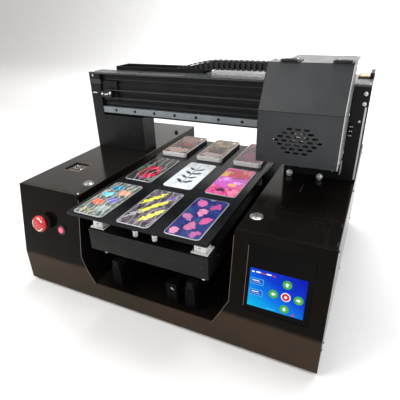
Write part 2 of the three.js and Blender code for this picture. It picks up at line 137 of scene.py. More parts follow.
def new(tree, kind, **values):
    """Adds a shader node. A value names an input, with _ for a space, or else a setting."""
    n = tree.nodes.new("ShaderNode" + kind)
    for key, v in values.items():
        if key.replace("_", " ") in n.inputs:
            n.inputs[key.replace("_", " ")].default_value = v
        else:
            setattr(n, key, v)
    return n


def wire(tree, kind, values, output=0, **settings):
    """Adds a node, links or sets its first inputs, and gives back one output."""
    n = new(tree, kind, **settings)
    for socket, v in zip(n.inputs, values):
        if isinstance(v, bpy.types.NodeSocket):
            tree.links.new(v, socket)
        else:
            socket.default_value = v
    return n.outputs[output]


def own_coords(tree):
    return new(tree, "TexCoord").outputs["Object"]


def axis(tree, name):
    return wire(tree, "SeparateXYZ", (own_coords(tree),), name)


def ramp(tree, source, stops):
    n = new(tree, "ValToRGB")
    e = n.color_ramp.elements
    while len(e) < len(stops):
        e.new(0.5)
    for item, (pos, col) in zip(e, stops):
        item.position = pos
        item.color = (*col, 1)
    tree.links.new(source, n.inputs[0])
    return n.outputs[0]


def drift(tree, source, dark, light, low=0.3, high=0.7):
    """Two colours, one running into the other."""
    return ramp(tree, source, [(low, dark), (high, light)])


def spread(tree, source, low, high):
    """Maps a pattern's middle half to low..high."""
    return wire(tree, "MapRange", (source, 0.25, 0.75, low, high))


def pattern(tree, scale, stretch=(1, 1, 1), detail=3.0):
    m = new(tree, "Mapping", Scale=stretch)
    tree.links.new(own_coords(tree), m.inputs[0])
    n = new(tree, "TexNoise", Scale=scale, Detail=detail)
    tree.links.new(m.outputs[0], n.inputs["Vector"])
    return n.outputs[0]


def bumped(tree, bsdf, height, strength, distance):
    bump = new(tree, "Bump", Strength=strength, Distance=distance)
    tree.links.new(height, bump.inputs["Height"])
    tree.links.new(bump.outputs[0], bsdf.inputs["Normal"])


def sheen(bsdf, spec, tint=None):
    bsdf.inputs["Specular IOR Level"].default_value = spec
    if tint:
        bsdf.inputs["Specular Tint"].default_value = (*tint, 1)


def finish_of(name, colour, rough, metal=0.0, coat=0.0, grain=(900, 0.06), stretch=(1, 1, 1), vary=0.2,
              specks=0.0, spec=0.5, glow=0.0, tint=None):
    """A paint, plastic or metal: slow colour drift, a patchy sheen, a fine surface grain and a few dust specks."""
    mat, t, bsdf = nodes_of(name)
    dark = tuple(c * (1 - vary) for c in colour)
    light = tuple(min(1, c * (1 + vary) + 0.002) for c in colour)
    base = drift(t, pattern(t, 9, detail=5), dark, light)
    if specks:
        mask = drift(t, pattern(t, 260, detail=1.0), (0, 0, 0), (specks, specks, specks), 0.72, 0.79)
        base = wire(t, "MixRGB", (1, base, mask), blend_type="ADD")
    t.links.new(base, bsdf.inputs["Base Color"])
    t.links.new(spread(t, pattern(t, 26, (1, 1.7, 0.8), 6), rough * 0.75, rough * 1.3), bsdf.inputs["Roughness"])
    bumped(t, bsdf, pattern(t, grain[0], stretch, 2), grain[1], 0.0004)
    bsdf.inputs["Metallic"].default_value = metal
    bsdf.inputs["Coat Weight"].default_value = coat
    bsdf.inputs["Coat Roughness"].default_value = 0.05
    sheen(bsdf, spec, tint)
    if glow:
        t.links.new(base, bsdf.inputs["Emission Color"])
        bsdf.inputs["Emission Strength"].default_value = glow
    return mat


M = {
    "gloss": finish_of("gloss_black_paint", (0.0040, 0.0031, 0.0028), 0.13, grain=(420, 0.012), specks=0.015,
                       spec=0.50, tint=(1.0, 0.78, 0.62)),
    "channel": finish_of("channel_paint", (0.0030, 0.0021, 0.0018), 0.3, grain=(420, 0.02), specks=0.008, spec=0.10,
                         tint=(1.0, 0.78, 0.64)),
    "satin": finish_of("satin_powder_coat", (0.0050, 0.0055, 0.0064), 0.42, grain=(1500, 0.16), specks=0.006,
                       spec=0.22),
    "lid": finish_of("top_plate_paint", (0.045, 0.050, 0.050), 0.28, grain=(1500, 0.10), specks=0.006, spec=0.6),
    "belt": finish_of("belt_rubber", (0.040, 0.041, 0.043), 0.55, grain=(1400, 0.25)),
    "pale_magenta": finish_of("switch_cap", (0.50, 0.045, 0.16), 0.3, grain=(600, 0.05), vary=0.3, glow=0.22),
    "cover": finish_of("cover_powder_coat", (0.026, 0.029, 0.032), 0.40, grain=(1500, 0.14), specks=0.01, spec=0.4),
    # the saddle's dark coat, darkened further as painted shade under the table
    "shadow": finish_of("saddle_coat_and_painted_shade", (0.0048, 0.0045, 0.0042), 0.45, grain=(1500, 0.16), specks=0.006,
                        spec=0.18),
    # near-black paint; on the rail bearing under the saddle it is painted shade
    "dull": finish_of("dull_black_and_painted_shade", (0.0020, 0.0017, 0.0016), 0.5, grain=(1500, 0.12), spec=0.05),
    "plastic": finish_of("moulded_plastic", (0.008, 0.008, 0.009), 0.45, grain=(1100, 0.20), spec=0.3),
    "shell": finish_of("shell_plate", (0.135, 0.140, 0.138), 0.40, metal=0.2, grain=(1300, 0.08), vary=0.10,
                       spec=0.4),
    "alu": finish_of("brushed_aluminium", (0.60, 0.61, 0.62), 0.32, metal=0.95, grain=(700, 0.22), stretch=(0.05, 1,
                     1), vary=0.08),
    "steel": finish_of("ground_steel", (0.52, 0.54, 0.56), 0.24, metal=1.0, grain=(800, 0.14), stretch=(0.04, 1, 1),
                       vary=0.12),
    "rail": finish_of("rail_steel", (0.24, 0.27, 0.29), 0.30, metal=0.9, grain=(700, 0.14), stretch=(0.03, 1, 1),
                      vary=0.2),
    "zinc": finish_of("zinc_screws", (0.66, 0.66, 0.64), 0.26, metal=1.0, grain=(1600, 0.12), vary=0.15),
    "oxide": finish_of("black_oxide", (0.016, 0.016, 0.018), 0.36, metal=0.4, grain=(1600, 0.2)),
    "rubber": finish_of("rubber", (0.012, 0.012, 0.012), 0.78, grain=(1400, 0.35)),
    "chain": finish_of("chain_nylon", (0.013, 0.013, 0.014), 0.42, grain=(1300, 0.22)),
    "white": finish_of("white_acetal", (0.78, 0.78, 0.76), 0.42, grain=(900, 0.08), vary=0.05),
    "pale": finish_of("pale_plate", (0.62, 0.64, 0.64), 0.30, metal=0.3, grain=(700, 0.08), vary=0.06),
    "red": finish_of("stop_red_plastic", (0.55, 0.012, 0.014), 0.26, coat=0.4, grain=(900, 0.04), vary=0.1),
    "lamp": finish_of("lit_button", (0.95, 0.10, 0.14), 0.25, coat=0.3, grain=(600, 0.04), vary=0.15, glow=0.55),
    "bed": finish_of("bed_black", (0.0028, 0.0032, 0.0044), 0.2, grain=(500, 0.02), specks=0.008, spec=0.14),
    "umber": finish_of("pocket_plate", (0.155, 0.125, 0.105), 0.36, metal=0.25, grain=(900, 0.08), vary=0.25),
    "amber": finish_of("amber_strip", (0.62, 0.30, 0.05), 0.30, coat=0.3, grain=(500, 0.08), vary=0.25),
    "board": finish_of("circuit_board", (0.02, 0.14, 0.05), 0.32, coat=0.3, grain=(700, 0.12), vary=0.35),
    "brass": finish_of("brass", (0.62, 0.44, 0.15), 0.28, metal=1.0, grain=(900, 0.12), vary=0.12),
}


def quieter_right(mat, left, right):
    """Lets a paint's sheen fall off from the left-hand console to the right-hand one."""
    t = mat.node_tree
    fall = wire(t, "MapRange", (axis(t, "X"), -0.18, 0.17, left, right), interpolation_type="SMOOTHSTEP")
    t.links.new(fall, t.nodes["Principled BSDF"].inputs["Specular IOR Level"])


quieter_right(M["gloss"], 0.62, 0.10)


# ---------------------------------------------------------------- mesh helpers
def rounded(w, h, r, inset, z, at=(0, 0), steps=3, least=0.05):
    """A rounded rectangle's outline, drawn in from its edge by inset, with corners of at least this radius."""
    rr, hw, hh = max(r - inset, least), w / 2 - inset, h / 2 - inset
    pts = []
    for q, (sx, sy) in enumerate([(1, 1), (-1, 1), (-1, -1), (1, -1)]):
        for i in range(steps + 1):
            a = (q + i / steps) * math.pi / 2
            pts.append((at[0] + sx * (hw - rr) + rr * math.cos(a), at[1] + sy * (hh - rr) + rr * math.sin(a), z))
    return pts


def knurl(n, *rows):
    """The rings of a grooved rim, from rows of radius, height and depth of groove."""
    return [[((r - deep * (j % 2)) * math.cos(TAU * j / n), (r - deep * (j % 2)) * math.sin(TAU * j / n), h)
             for j in range(n)] for r, h, deep in rows]


class Shape:
    """Collects closed solids in millimetres and turns them into one piece."""

    def __init__(self):
        self.v, self.f, self.k = [], [], []

    def loft(self, rings, k=0, m=None, ends=True, ring=False):
        n, start = len(rings[0]), len(self.v)
        for r in rings:
            self.v += [tuple(m @ Vector(p)) if m else tuple(p) for p in r]
        count = len(rings)
        for i in range(count if ring else count - 1):
            a, b = start + i * n, start + ((i + 1) % count) * n
            for j in range(n):
                j2 = (j + 1) % n
                self.f.append([a + j, a + j2, b + j2, b + j])
                self.k.append(k)
        if ends and not ring:
            self.f.append([start + j for j in reversed(range(n))])
            self.f.append([start + (count - 1) * n + j for j in range(n)])
            self.k += [k, k]
        return self

    def lathe(self, profile, n=28, k=0, m=None, ring=False):
        """profile: (radius, height) from the bottom up, outside first; a third value, 6, makes a ring hexagonal."""
        rings = []
        for r, h, *sides in profile:
            points = []
            for j in range(n):
                a = TAU * j / n
                rr = r
                if sides:
                    s = TAU / sides[0]
                    rr = r * math.cos(s / 2) / math.cos((a % s) - s / 2)
                points.append((rr * math.cos(a), rr * math.sin(a), h))
            rings.append(points)
        return self.loft(rings, k, m, ring=ring)

    def plate(self, w, h, z0, z1, r=1.0, c=0.3, k=0, m=None, at=(0, 0), steps=3):
        """A rounded rectangular plate with softened edges, drawn on a face."""
        rows = ((c, z0), (0, z0 + c), (0, z1 - c), (c, z1))
        return self.loft([rounded(w, h, r, inset, z, at, steps) for inset, z in rows], k, m)

    def prism(self, outline, z0, z1, k=0, m=None):
        return self.loft([[(x, y, z0) for x, y in outline], [(x, y, z1) for x, y in outline]], k, m)

    def tube(self, path, radius, n=10, k=0):
        """A round tube along a path of points."""
        pts = [Vector(p) for p in path]
        side = Vector((0.31, 0.87, 0.38))
        rings = []
        for i, p in enumerate(pts):
            d = (pts[min(i + 1, len(pts) - 1)] - pts[max(i - 1, 0)]).normalized()
            side = (side - d * side.dot(d)).normalized()
            other = d.cross(side)
            rings.append([p + (side * math.cos(TAU * j / n) + other * math.sin(TAU * j / n)) * radius
                          for j in range(n)])
        return self.loft(rings, k)

    def screw(self, m, r, kind="dome", k=0):
        if kind == "socket":
            h = r * 1.1
            self.lathe([(r, 0), (r, h - 0.2 * r), (r * 0.86, h), (r * 0.62, h), (r * 0.56, h - 0.1, 6),
                        (r * 0.56, h * 0.45, 6), (r * 0.1, h * 0.35)], 24, k, m)
        elif kind == "dome":
            h = r * 0.55
            self.lathe([(r, 0), (r, 0.12 * r), (r * 0.9, h * 0.6), (r * 0.7, h * 0.9), (r * 0.48, h),
                        (r * 0.42, h * 0.97, 6), (r * 0.42, h * 0.35, 6), (r * 0.08, h * 0.25)], 24, k, m)
        else:
            self.lathe([(r, 0), (r, 0.25), (r * 0.92, 0.4), (r * 0.5, 0.4), (r * 0.46, 0.3, 6), (r * 0.42, 0.08, 6),
                        (0.1, 0.05)], 24, k, m)

    def screws(self, points, out, up, r, kind="dome", k=0):
        """The same screw at several points of faces that look the same way."""
        for p in points:
            self.screw(place(p, out, up), r, kind, k)

    def build(self, name, body, mats, slot=None, replaces=(), smooth=35, origin=None, ride=True):
        at = Vector(origin) if origin else None
        pts = [mm(*p) - (mm(*at) if at else Vector()) for p in self.v]
        me = bpy.data.meshes.new(name)
        me.from_pydata(pts, [], self.f)
        for mat in mats:
            me.materials.append(M[mat] if isinstance(mat, str) else mat)
        for p, k in zip(me.polygons, self.k):
            p.material_index = k
            p.use_smooth = True
        o = bpy.data.objects.new(name, me)
        bpy.context.scene.collection.objects.link(o)
        if at:
            o.location = mm(*at)
        me.update()
        sharp_by_angle(o, smooth)
        if replaces:
            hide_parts(*replaces)
        if ride:
            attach(o, body)
        return o


def sharp_by_angle(obj, degrees):
    """Marks the edges sharper than this, so that round parts shade round and corners stay crisp."""
    bm = bmesh.new()
    bm.from_mesh(obj.data)
    limit = math.radians(degrees)
    for e in bm.edges:
        e.smooth = len(e.link_faces) == 2 and e.calc_face_angle(0) < limit
    bm.to_mesh(obj.data)
    bm.free()


def cleaner():
    """A geometry-nodes group for the CAD nodes: welds facets and smooths round faces, with every point in place."""
    g = bpy.data.node_groups.new("round_faces", "GeometryNodeTree")
    g.interface.new_socket("Geometry", in_out="INPUT", socket_type="NodeSocketGeometry")
    g.interface.new_socket("Geometry", in_out="OUTPUT", socket_type="NodeSocketGeometry")
    a, z = g.nodes.new("NodeGroupInput"), g.nodes.new("NodeGroupOutput")
    drop = g.nodes.new("GeometryNodeRemoveAttribute")
    drop.inputs["Name"].default_value = "custom_normal"
    weld = g.nodes.new("GeometryNodeMergeByDistance")
    weld.inputs["Distance"].default_value = 2e-6
    faces = g.nodes.new("GeometryNodeSetShadeSmooth")
    faces.domain = "FACE"
    edges = g.nodes.new("GeometryNodeSetShadeSmooth")
    edges.domain = "EDGE"
    angle = g.nodes.new("GeometryNodeInputMeshEdgeAngle")
    less = g.nodes.new("FunctionNodeCompare")
    less.operation = "LESS_THAN"
    less.inputs[1].default_value = math.radians(31)
    line = (a, drop, weld, faces, edges, z)
    for one, two in [*zip(line, line[1:]), (angle, less)]:
        g.links.new(one.outputs[0], two.inputs[0])
    g.links.new(less.outputs[0], edges.inputs["Shade Smooth"])
    return g


CLEAN = cleaner()


def over(t, base, colour, mask, amount=1.0):
    """Lays a colour, or another pattern, over a base where the mask is bright."""
    if amount < 1:
        mask = wire(t, "Math", (mask, amount), operation="MULTIPLY")
    return wire(t, "MixRGB", (mask, base, (*colour, 1) if isinstance(colour, tuple) else colour), blend_type="MIX")


def rail_painted_shade():
    """Near-black steel on top and near-black paint below, for the table's rails on their bearers: both kept this dark
    as painted shade under the saddle.
    """
    mat, t, bsdf = nodes_of("rail_darkened_as_painted_shade")
    line = wire(t, "MapRange", (axis(t, "Z"), OZ + 0.0956, OZ + 0.0962))
    # painted shade: both colours are kept near black so the rails sink into the shade of the channel
    steel = drift(t, pattern(t, 700, (1, 0.03, 1), 2), (0.006, 0.006, 0.0065), (0.011, 0.011, 0.012))
    paint = drift(t, pattern(t, 9, detail=5), (0.0022, 0.0019, 0.0018), (0.0034, 0.0030, 0.0027))
    t.links.new(over(t, paint, steel, line), bsdf.inputs["Base Color"])
    t.links.new(spread(t, pattern(t, 26, detail=6), 0.42, 0.60), bsdf.inputs["Roughness"])
    sheen(bsdf, 0.04)
    return mat


def fascia_gloss_and_reflection():
    """The gloss paint of the folded front: near black on the leaning console, with a warm painted reflection in the
    colour of the strip below the fold.
    """
    mat, t, bsdf = nodes_of("fascia_gloss_and_painted_reflection")
    wavy = wire(t, "Math", (pattern(t, 14, detail=2), 0.010, axis(t, "Z")), operation="MULTIPLY_ADD")
    strip = wire(t, "MapRange", (wavy, OZ + 0.088, OZ + 0.078))
    dark = drift(t, pattern(t, 7, detail=4), (0.0016, 0.0014, 0.0011), (0.0034, 0.0028, 0.0022), 0.35, 0.65)
    # painted reflection: the warm brown of the lower strip stands in for the surroundings mirrored in the gloss
    painted_reflection = drift(t, pattern(t, 5, (1, 1, 2), 3), (0.030, 0.026, 0.017), (0.046, 0.029, 0.020), 0.35, 0.65)
    t.links.new(over(t, dark, painted_reflection, strip), bsdf.inputs["Base Color"])
    t.links.new(spread(t, pattern(t, 26, (1, 1.7, 0.8), 6), 0.10, 0.17), bsdf.inputs["Roughness"])
    sheen(bsdf, 0.06, (1.0, 0.84, 0.72))
    return mat


def dress(node, finish, bevel):
    """Gives a CAD node its material and softens its edges."""
    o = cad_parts[node]
    mat = M[finish] if isinstance(finish, str) else finish
    if o.data.materials:
        o.data.materials[0] = mat
    else:
        o.data.materials.append(mat)
    o.modifiers.new("clean", "NODES").node_group = CLEAN
    flat = o.modifiers.new("flat", "DECIMATE")
    flat.decimate_type = "DISSOLVE"
    flat.angle_limit = math.radians(1)
    b = o.modifiers.new("edge", "BEVEL")
    b.width = bevel / 1000
    b.segments = 2
    b.limit_method = "ANGLE"
    b.angle_limit = math.radians(32)
    b.use_clamp_overlap = True
    b.harden_normals = True


POSTS = "corner_post_front_left corner_post_front_right corner_post_rear_left corner_post_rear_right"
FEET = "foot_front_left foot_front_right foot_rear_left foot_rear_right"
for finish, bevel, names in (
    (fascia_gloss_and_reflection(), 0.7, "front_fascia"),
    ("gloss", 0.7, "side_panel_left side_panel_right rear_panel deck_left deck_right"),
    ("gloss", 0.4, "service_lid_left service_lid_right"),
    ("satin", 0.6, "base_pan gantry_side_left gantry_side_right x_beam chain_tray"),
    ("lid", 0.6, "gantry_top_plate"),
    ("shadow", 0.6, "saddle"),
    ("channel", 0.6, "channel_liner"),
    ("bed", 0.8, "table_plate"),
    ("cover", 0.35, "carriage_flap"),
    ("shell", 0.35, "carriage_shell"),
    ("alu", 0.35, "carriage_mount y_block_left y_block_right uv_lamp x_drive_pulley"),
    ("umber", 0.35, "port_pocket"),
    ("oxide", 0.35, "x_idler_pulley"),
    ("steel", 0.3, "cam_lock_left cam_lock_right x_block lift_screw"),
    ("rail", 0.3, "x_rail"),
    (rail_painted_shade(), 0.3, "y_rail_left y_rail_right"),
    # painted shade: the bearing under the saddle is made near black
    ("dull", 0.5, "y_bearing"),
    ("plastic", 0.3, "power_inlet fan_frame print_head lift_motor"),
    ("dull", 0.3, "estop_collar estop_stem screen_bezel"),
    ("shell", 0.3, "fan_rotor"),
    ("rubber", 0.8, FEET),
    ("white", 0.8, POSTS),
    ("pale_magenta", 0.6, "power_button"),
):
    for node in names.split():
        dress(node, finish, bevel)


# ---------------------------------------------------------------- printed samples on the bed
def smooth_mask(t, cx, cy, rx, ry, turn, edge, wobble, scale=60):
    """A soft-edged ellipse in a sample's own plane, its outline pushed about by noise. Sizes in millimetres."""
    where = own_coords(t)
    n = new(t, "TexNoise", Scale=scale, Detail=3)
    t.links.new(where, n.inputs["Vector"])
    shift = wire(t, "VectorMath", (n.outputs["Color"], (0.5, 0.5, 0)), operation="SUBTRACT")
    where = wire(t, "VectorMath", (shift, (wobble, wobble, 0), where), operation="MULTIPLY_ADD")
    m = new(t, "Mapping", vector_type="TEXTURE", Location=(cx / 1000, cy / 1000, 0),
            Rotation=(0, 0, math.radians(turn)), Scale=(rx / 1000, ry / 1000, 1))
    t.links.new(where, m.inputs[0])
    far = wire(t, "VectorMath", (m.outputs[0],), "Value", operation="LENGTH")
    half = wire(t, "Math", (far, 0.5), operation="MULTIPLY")
    return drift(t, half, (1, 1, 1), (0, 0, 0), (1 - edge) * 0.5, 0.5)


def art(name, ground, blobs, mottle=None, scale=55, lines=None):
    """An abstract print: a mottled ground, blobs (x, y, rx, ry, turn, colour, wobble) and perhaps contour lines."""
    mat, t, bsdf = nodes_of(name)
    base = ramp(t, pattern(t, scale, detail=4), [*zip((0.35, 0.5, 0.68), ground)])
    if mottle:
        spots = drift(t, pattern(t, scale * 4.2, detail=2), (0, 0, 0), (1, 1, 1), 0.50, 0.56)
        area = smooth_mask(t, *mottle[0], 0.5, 0.012)
        base = over(t, base, mottle[1], wire(t, "MixRGB", (1, spots, area), blend_type="MULTIPLY"))
    for x, y, rx, ry, turn, colour, wobble in blobs:
        base = over(t, base, colour, smooth_mask(t, x, y, rx, ry, turn, 0.12, wobble, 90))
    if lines:
        wave = new(t, "TexWave", Scale=lines[1], Distortion=9, Detail=2)
        t.links.new(own_coords(t), wave.inputs["Vector"])
        thin = ramp(t, wave.outputs[0], [(0.0, (1, 1, 1)), (0.10, (1, 1, 1)), (0.16, (0, 0, 0))])
        base = over(t, base, lines[0], thin, lines[2])
    base = wire(t, "MixRGB", (0.55, base, pattern(t, 240, detail=3)), blend_type="OVERLAY")
    t.links.new(base, bsdf.inputs["Base Color"])
    bumped(t, bsdf, base, 0.12, 0.0003)
    t.links.new(spread(t, pattern(t, 70), 0.16, 0.26), bsdf.inputs["Roughness"])
    sheen(bsdf, 0.26)
    return mat


EDGE = finish_of("clear_edge", (0.30, 0.31, 0.33), 0.12, coat=0.6, grain=(500, 0.03), vary=0.12)
BAND = finish_of("case_edge_white", (0.72, 0.71, 0.72), 0.25, coat=0.4, grain=(500, 0.03), vary=0.1)
PRINTS = [
    [art("print_teal", ((0.035, 0.06, 0.06), (0.10, 0.13, 0.12), (0.26, 0.26, 0.22)), [
        (-14, 48, 13, 13, 0, (0.006, 0.19, 0.38), 0.02), (15, 30, 14, 14, 0, (0.62, 0.30, 0.20), 0.02),
        (-13, 14, 12, 12, 0, (0.10, 0.52, 0.74), 0.02), (14, -6, 13, 13, 0, (0.13, 0.12, 0.46), 0.02),
        (-14, -22, 13, 13, 0, (0.72, 0.10, 0.05), 0.02), (14, -42, 13, 13, 0, (0.26, 0.34, 0.34), 0.02)],
        mottle=((-12, -60, 18, 10, 0), (0.56, 0.42, 0.13)), scale=70, lines=((0.72, 0.70, 0.62), 26, 0.45)),
     art("print_yellow", ((0.028, 0.024, 0.028), (0.075, 0.06, 0.08), (0.17, 0.13, 0.17)), [
         (-14, 34, 6, 34, -28, (0.72, 0.78, 0.02), 0.02), (2, 2, 7, 46, -28, (0.66, 0.66, 0.05), 0.02),
         (18, -30, 6, 34, -28, (0.78, 0.78, 0.12), 0.02), (18, 40, 4, 22, -28, (0.17, 0.10, 0.40), 0.02),
         (-20, -38, 4, 24, -28, (0.34, 0.32, 0.36), 0.02)], scale=60, lines=((0.60, 0.60, 0.60), 20, 0.28)),
     art("print_pink", ((0.010, 0.012, 0.10), (0.018, 0.026, 0.15), (0.022, 0.06, 0.16)), [
         (-16, 52, 10, 15, 30, (0.50, 0.12, 0.30), 0.02), (16, 46, 9, 15, -30, (0.36, 0.065, 0.22), 0.02),
         (0, 18, 10, 16, 0, (0.56, 0.20, 0.34), 0.02), (-20, -8, 9, 15, 30, (0.40, 0.14, 0.31), 0.02),
         (20, -10, 9, 15, -30, (0.50, 0.09, 0.25), 0.02), (0, -36, 10, 16, 0, (0.44, 0.14, 0.28), 0.02),
         (-20, -58, 9, 12, 30, (0.55, 0.22, 0.34), 0.02), (20, -58, 9, 12, -30, (0.36, 0.10, 0.28), 0.02)],
         scale=34)],
    [art("print_crimson", ((0.012, 0.011, 0.011), (0.028, 0.025, 0.024), (0.06, 0.05, 0.048)), [
        (3, -22, 25, 38, 0, (0.55, 0.012, 0.055), 0.03), (-6, -26, 12, 22, 0, (0.13, 0.03, 0.035), 0.03),
        (11, -18, 9, 14, 0, (0.010, 0.008, 0.008), 0.02), (-27, 0, 6, 26, -6, (0.06, 0.12, 0.085), 0.03),
        (30, -52, 7, 16, 0, (0.16, 0.20, 0.17), 0.03), (0, -54, 10, 8, 0, (0.35, 0.06, 0.20), 0.03)],
        scale=60, lines=((0.46, 0.48, 0.46), 17, 0.35)),
     art("print_leaves", ((0.52, 0.56, 0.60), (0.62, 0.68, 0.72), (0.74, 0.79, 0.83)),
         [(0, 0, 1.4, 60, 0, (0.012, 0.018, 0.02), 0.004)]
         + [(side * 11, y, 4.5, 12, -side * 52, (0.02, 0.035, 0.035), 0.01)
            for y in (-38, -14, 10, 34) for side in (-1, 1)],
         scale=30),
     art("print_magenta", ((0.36, 0.02, 0.14), (0.60, 0.05, 0.24), (0.78, 0.22, 0.20)), [
         (-4, -4, 40, 34, 0, (0.50, 0.08, 0.46), 0.05), (4, 40, 30, 22, 0, (0.48, 0.03, 0.07), 0.04),
         (-24, 36, 8, 18, -14, (0.66, 0.34, 0.04), 0.03), (20, 54, 13, 8, 0, (0.66, 0.16, 0.16), 0.03),
         (8, -20, 10, 8, 0, (0.84, 0.42, 0.05), 0.03), (-14, 6, 13, 8, 30, (0.66, 0.26, 0.74), 0.04),
         (20, -8, 10, 7, 0, (0.70, 0.34, 0.78), 0.04), (-8, -50, 12, 11, 0, (0.07, 0.006, 0.05), 0.03),
         (22, -52, 12, 16, 0, (0.80, 0.20, 0.34), 0.04), (14, 20, 12, 4, 20, (0.12, 0.008, 0.03), 0.03)],
         mottle=((0, 0, 40, 74, 0), (0.34, 0.02, 0.16)), scale=85)],
    [art("print_umber", ((0.05, 0.018, 0.014), (0.12, 0.045, 0.03), (0.28, 0.15, 0.10)), [
        (0, -46, 32, 20, 0, (0.42, 0.30, 0.24), 0.02), (4, -18, 24, 14, 0, (0.05, 0.008, 0.008), 0.03),
        (6, 6, 20, 8, 0, (0.28, 0.03, 0.015), 0.03), (0, 44, 32, 22, 0, (0.20, 0.12, 0.09), 0.02)], scale=60),
     art("print_walnut", ((0.07, 0.04, 0.025), (0.20, 0.13, 0.08), (0.36, 0.28, 0.18)), [
         (0, -50, 32, 16, 0, (0.40, 0.32, 0.32), 0.02), (2, -22, 25, 16, 0, (0.06, 0.010, 0.014), 0.03),
         (8, 4, 14, 12, 0, (0.018, 0.014, 0.012), 0.02)], scale=60),
     art("print_maroon", ((0.07, 0.014, 0.024), (0.12, 0.025, 0.045), (0.20, 0.06, 0.08)), [
         (0, -30, 26, 24, 0, (0.18, 0.03, 0.08), 0.03), (0, 30, 26, 30, 0, (0.05, 0.012, 0.02), 0.03)], scale=50)],
]
bed_top = span("table_plate")[1].z
SAMPLE_W, SAMPLE_H = 70.8, 148.2
FIRST_SAMPLE, SAMPLE_STEP = (-104, 16), (101.8, 173.2)
THICK_ROW = 2
for j, row in enumerate(PRINTS):
    for i, mat in enumerate(row):
        cx, cy = FIRST_SAMPLE[0] + SAMPLE_STEP[0] * i, FIRST_SAMPLE[1] + SAMPLE_STEP[1] * j
        thick = j == THICK_ROW
        tall = 9.5 if thick else 2.2
        w, h = SAMPLE_W, SAMPLE_H
        s = Shape()
        at = on_top(cx, cy, bed_top + 0.15)
        s.plate(w, h, 0, tall, 8, 0.6, 0, at, steps=6)
        s.plate(w - 3.4, h - 3.4, tall - 0.4, tall + 0.15, 6.5, 0.1, 1, at, steps=6)
        if thick:
            s.plate(w - 9, 3.2, tall + 0.1, tall + 0.7, 1.4, 0.2, 2, at, at=(0, -h / 2 + 4.5))
            s.plate(6, 14, tall + 0.1, tall + 0.9, 2.5, 0.2, 2, at, at=(w / 2 - 12, h / 2 - 20))
            flank = place((cx + w / 2, cy, bed_top + tall / 2), RIGHT, UP)
            s.plate(h - 18, tall - 1.4, -0.05, 0.3, 1, 0.1, 3, flank)
        else:
            s.plate(9, 2.6, tall - 0.1, tall + 0.35, 1.2, 0.1, 0, at, at=(0, h / 2 - 5))
        side = BAND if thick or (i, j) == (1, 1) else EDGE
        s.build(f"sample_{j + 1}_{i + 1}", "table", [side, mat, BAND, "plastic"], origin=(cx, cy, bed_top))


# ---------------------------------------------------------------- bed hardware
def knurled(name, node, body):
    """A levelling knob with a knurled rim, turned round the CAD knob's own axis."""
    lo, hi = span(node)
    x, y = (lo.x + hi.x) / 2, (lo.y + hi.y) / 2
    rings = knurl(72, (0.5, 0, 0), (4.4, 0, 0), (5.0, 0.7, 0), (5.4, 1.4, 0.35), (5.4, 6.4, 0.35), (4.6, 6.8, 0.1),
                  (4.6, 7.6, 0.1), (5.4, 8.0, 0.35), (5.4, 12.6, 0.35), (5.0, 13.4, 0), (3.4, 14, 0), (2.5, 14.2, 0),
                  (2.5, hi.z - lo.z - 0.2, 0))
    s = Shape().loft(rings, 0, Matrix.Translation((x, y, lo.z)))
    s.lathe([(3.1, -2.2), (3.1, -0.2), (2.8, 0.05), (0.2, 0.05)], 6, 1, Matrix.Translation((x, y, lo.z)))
    s.build(name, body, ["steel", "oxide"], "steel", [node], smooth=30)


knurled("knurled_knob_left", "level_knob_left", "knob_left")
knurled("knurled_knob_right", "level_knob_right", "knob_right")

s = Shape()
bushes = Shape()
for n in POSTS.split():
    lo, hi = span(n)
    x, front = (lo.x + hi.x) / 2, "front" in n
    s.screws(grid((lo.x + 3.1, hi.x - 3.1), (-18, 5) if front else (313, 336), 194), UP, BACK, 1.9)
    y, out = (-19, FRONT) if front else (337, BACK)
    s.screws(grid(x, y, (202, 226)), out, UP, 2.4, "socket")
    bushes.lathe([(5.3, 0), (5.85, 0), (5.85, 2.8), (5.3, 2.8), (5.3, 0)], 24, 0,
                 Matrix.Translation((x, -4 if front else 322, 187)), ring=True)
s.build("post_screws", "table", ["zinc"], "steel")
bushes.build("rod_bushes", "saddle_body", ["brass"], "steel")

s = Shape()
S_LO, S_HI = span("saddle")
s.screws(grid((-124, -60, 60, 124), S_LO.y, 168), FRONT, UP, 2.6)
for side in (-1, 1):
    s.screws(grid(side * S_HI.x, (20, 160, 300), 168), (side, 0, 0), UP, 2.6)
for n in ("y_block_left", "y_block_right"):
    lo, hi = span(n)
    for y, out in ((lo.y, FRONT), (hi.y, BACK)):
        m = place(((lo.x + hi.x) / 2, y, (lo.z + hi.z) / 2 + 9), out, UP)
        s.plate(31, 19, 0.05, 3.0, 1.5, 0.4, 1, m)
        for x in (-11, 11):
            s.screw(off(m, x, 2, 3.0), 1.6)
s.build("saddle_fixings", "saddle_body", ["oxide", "rubber"], "steel")


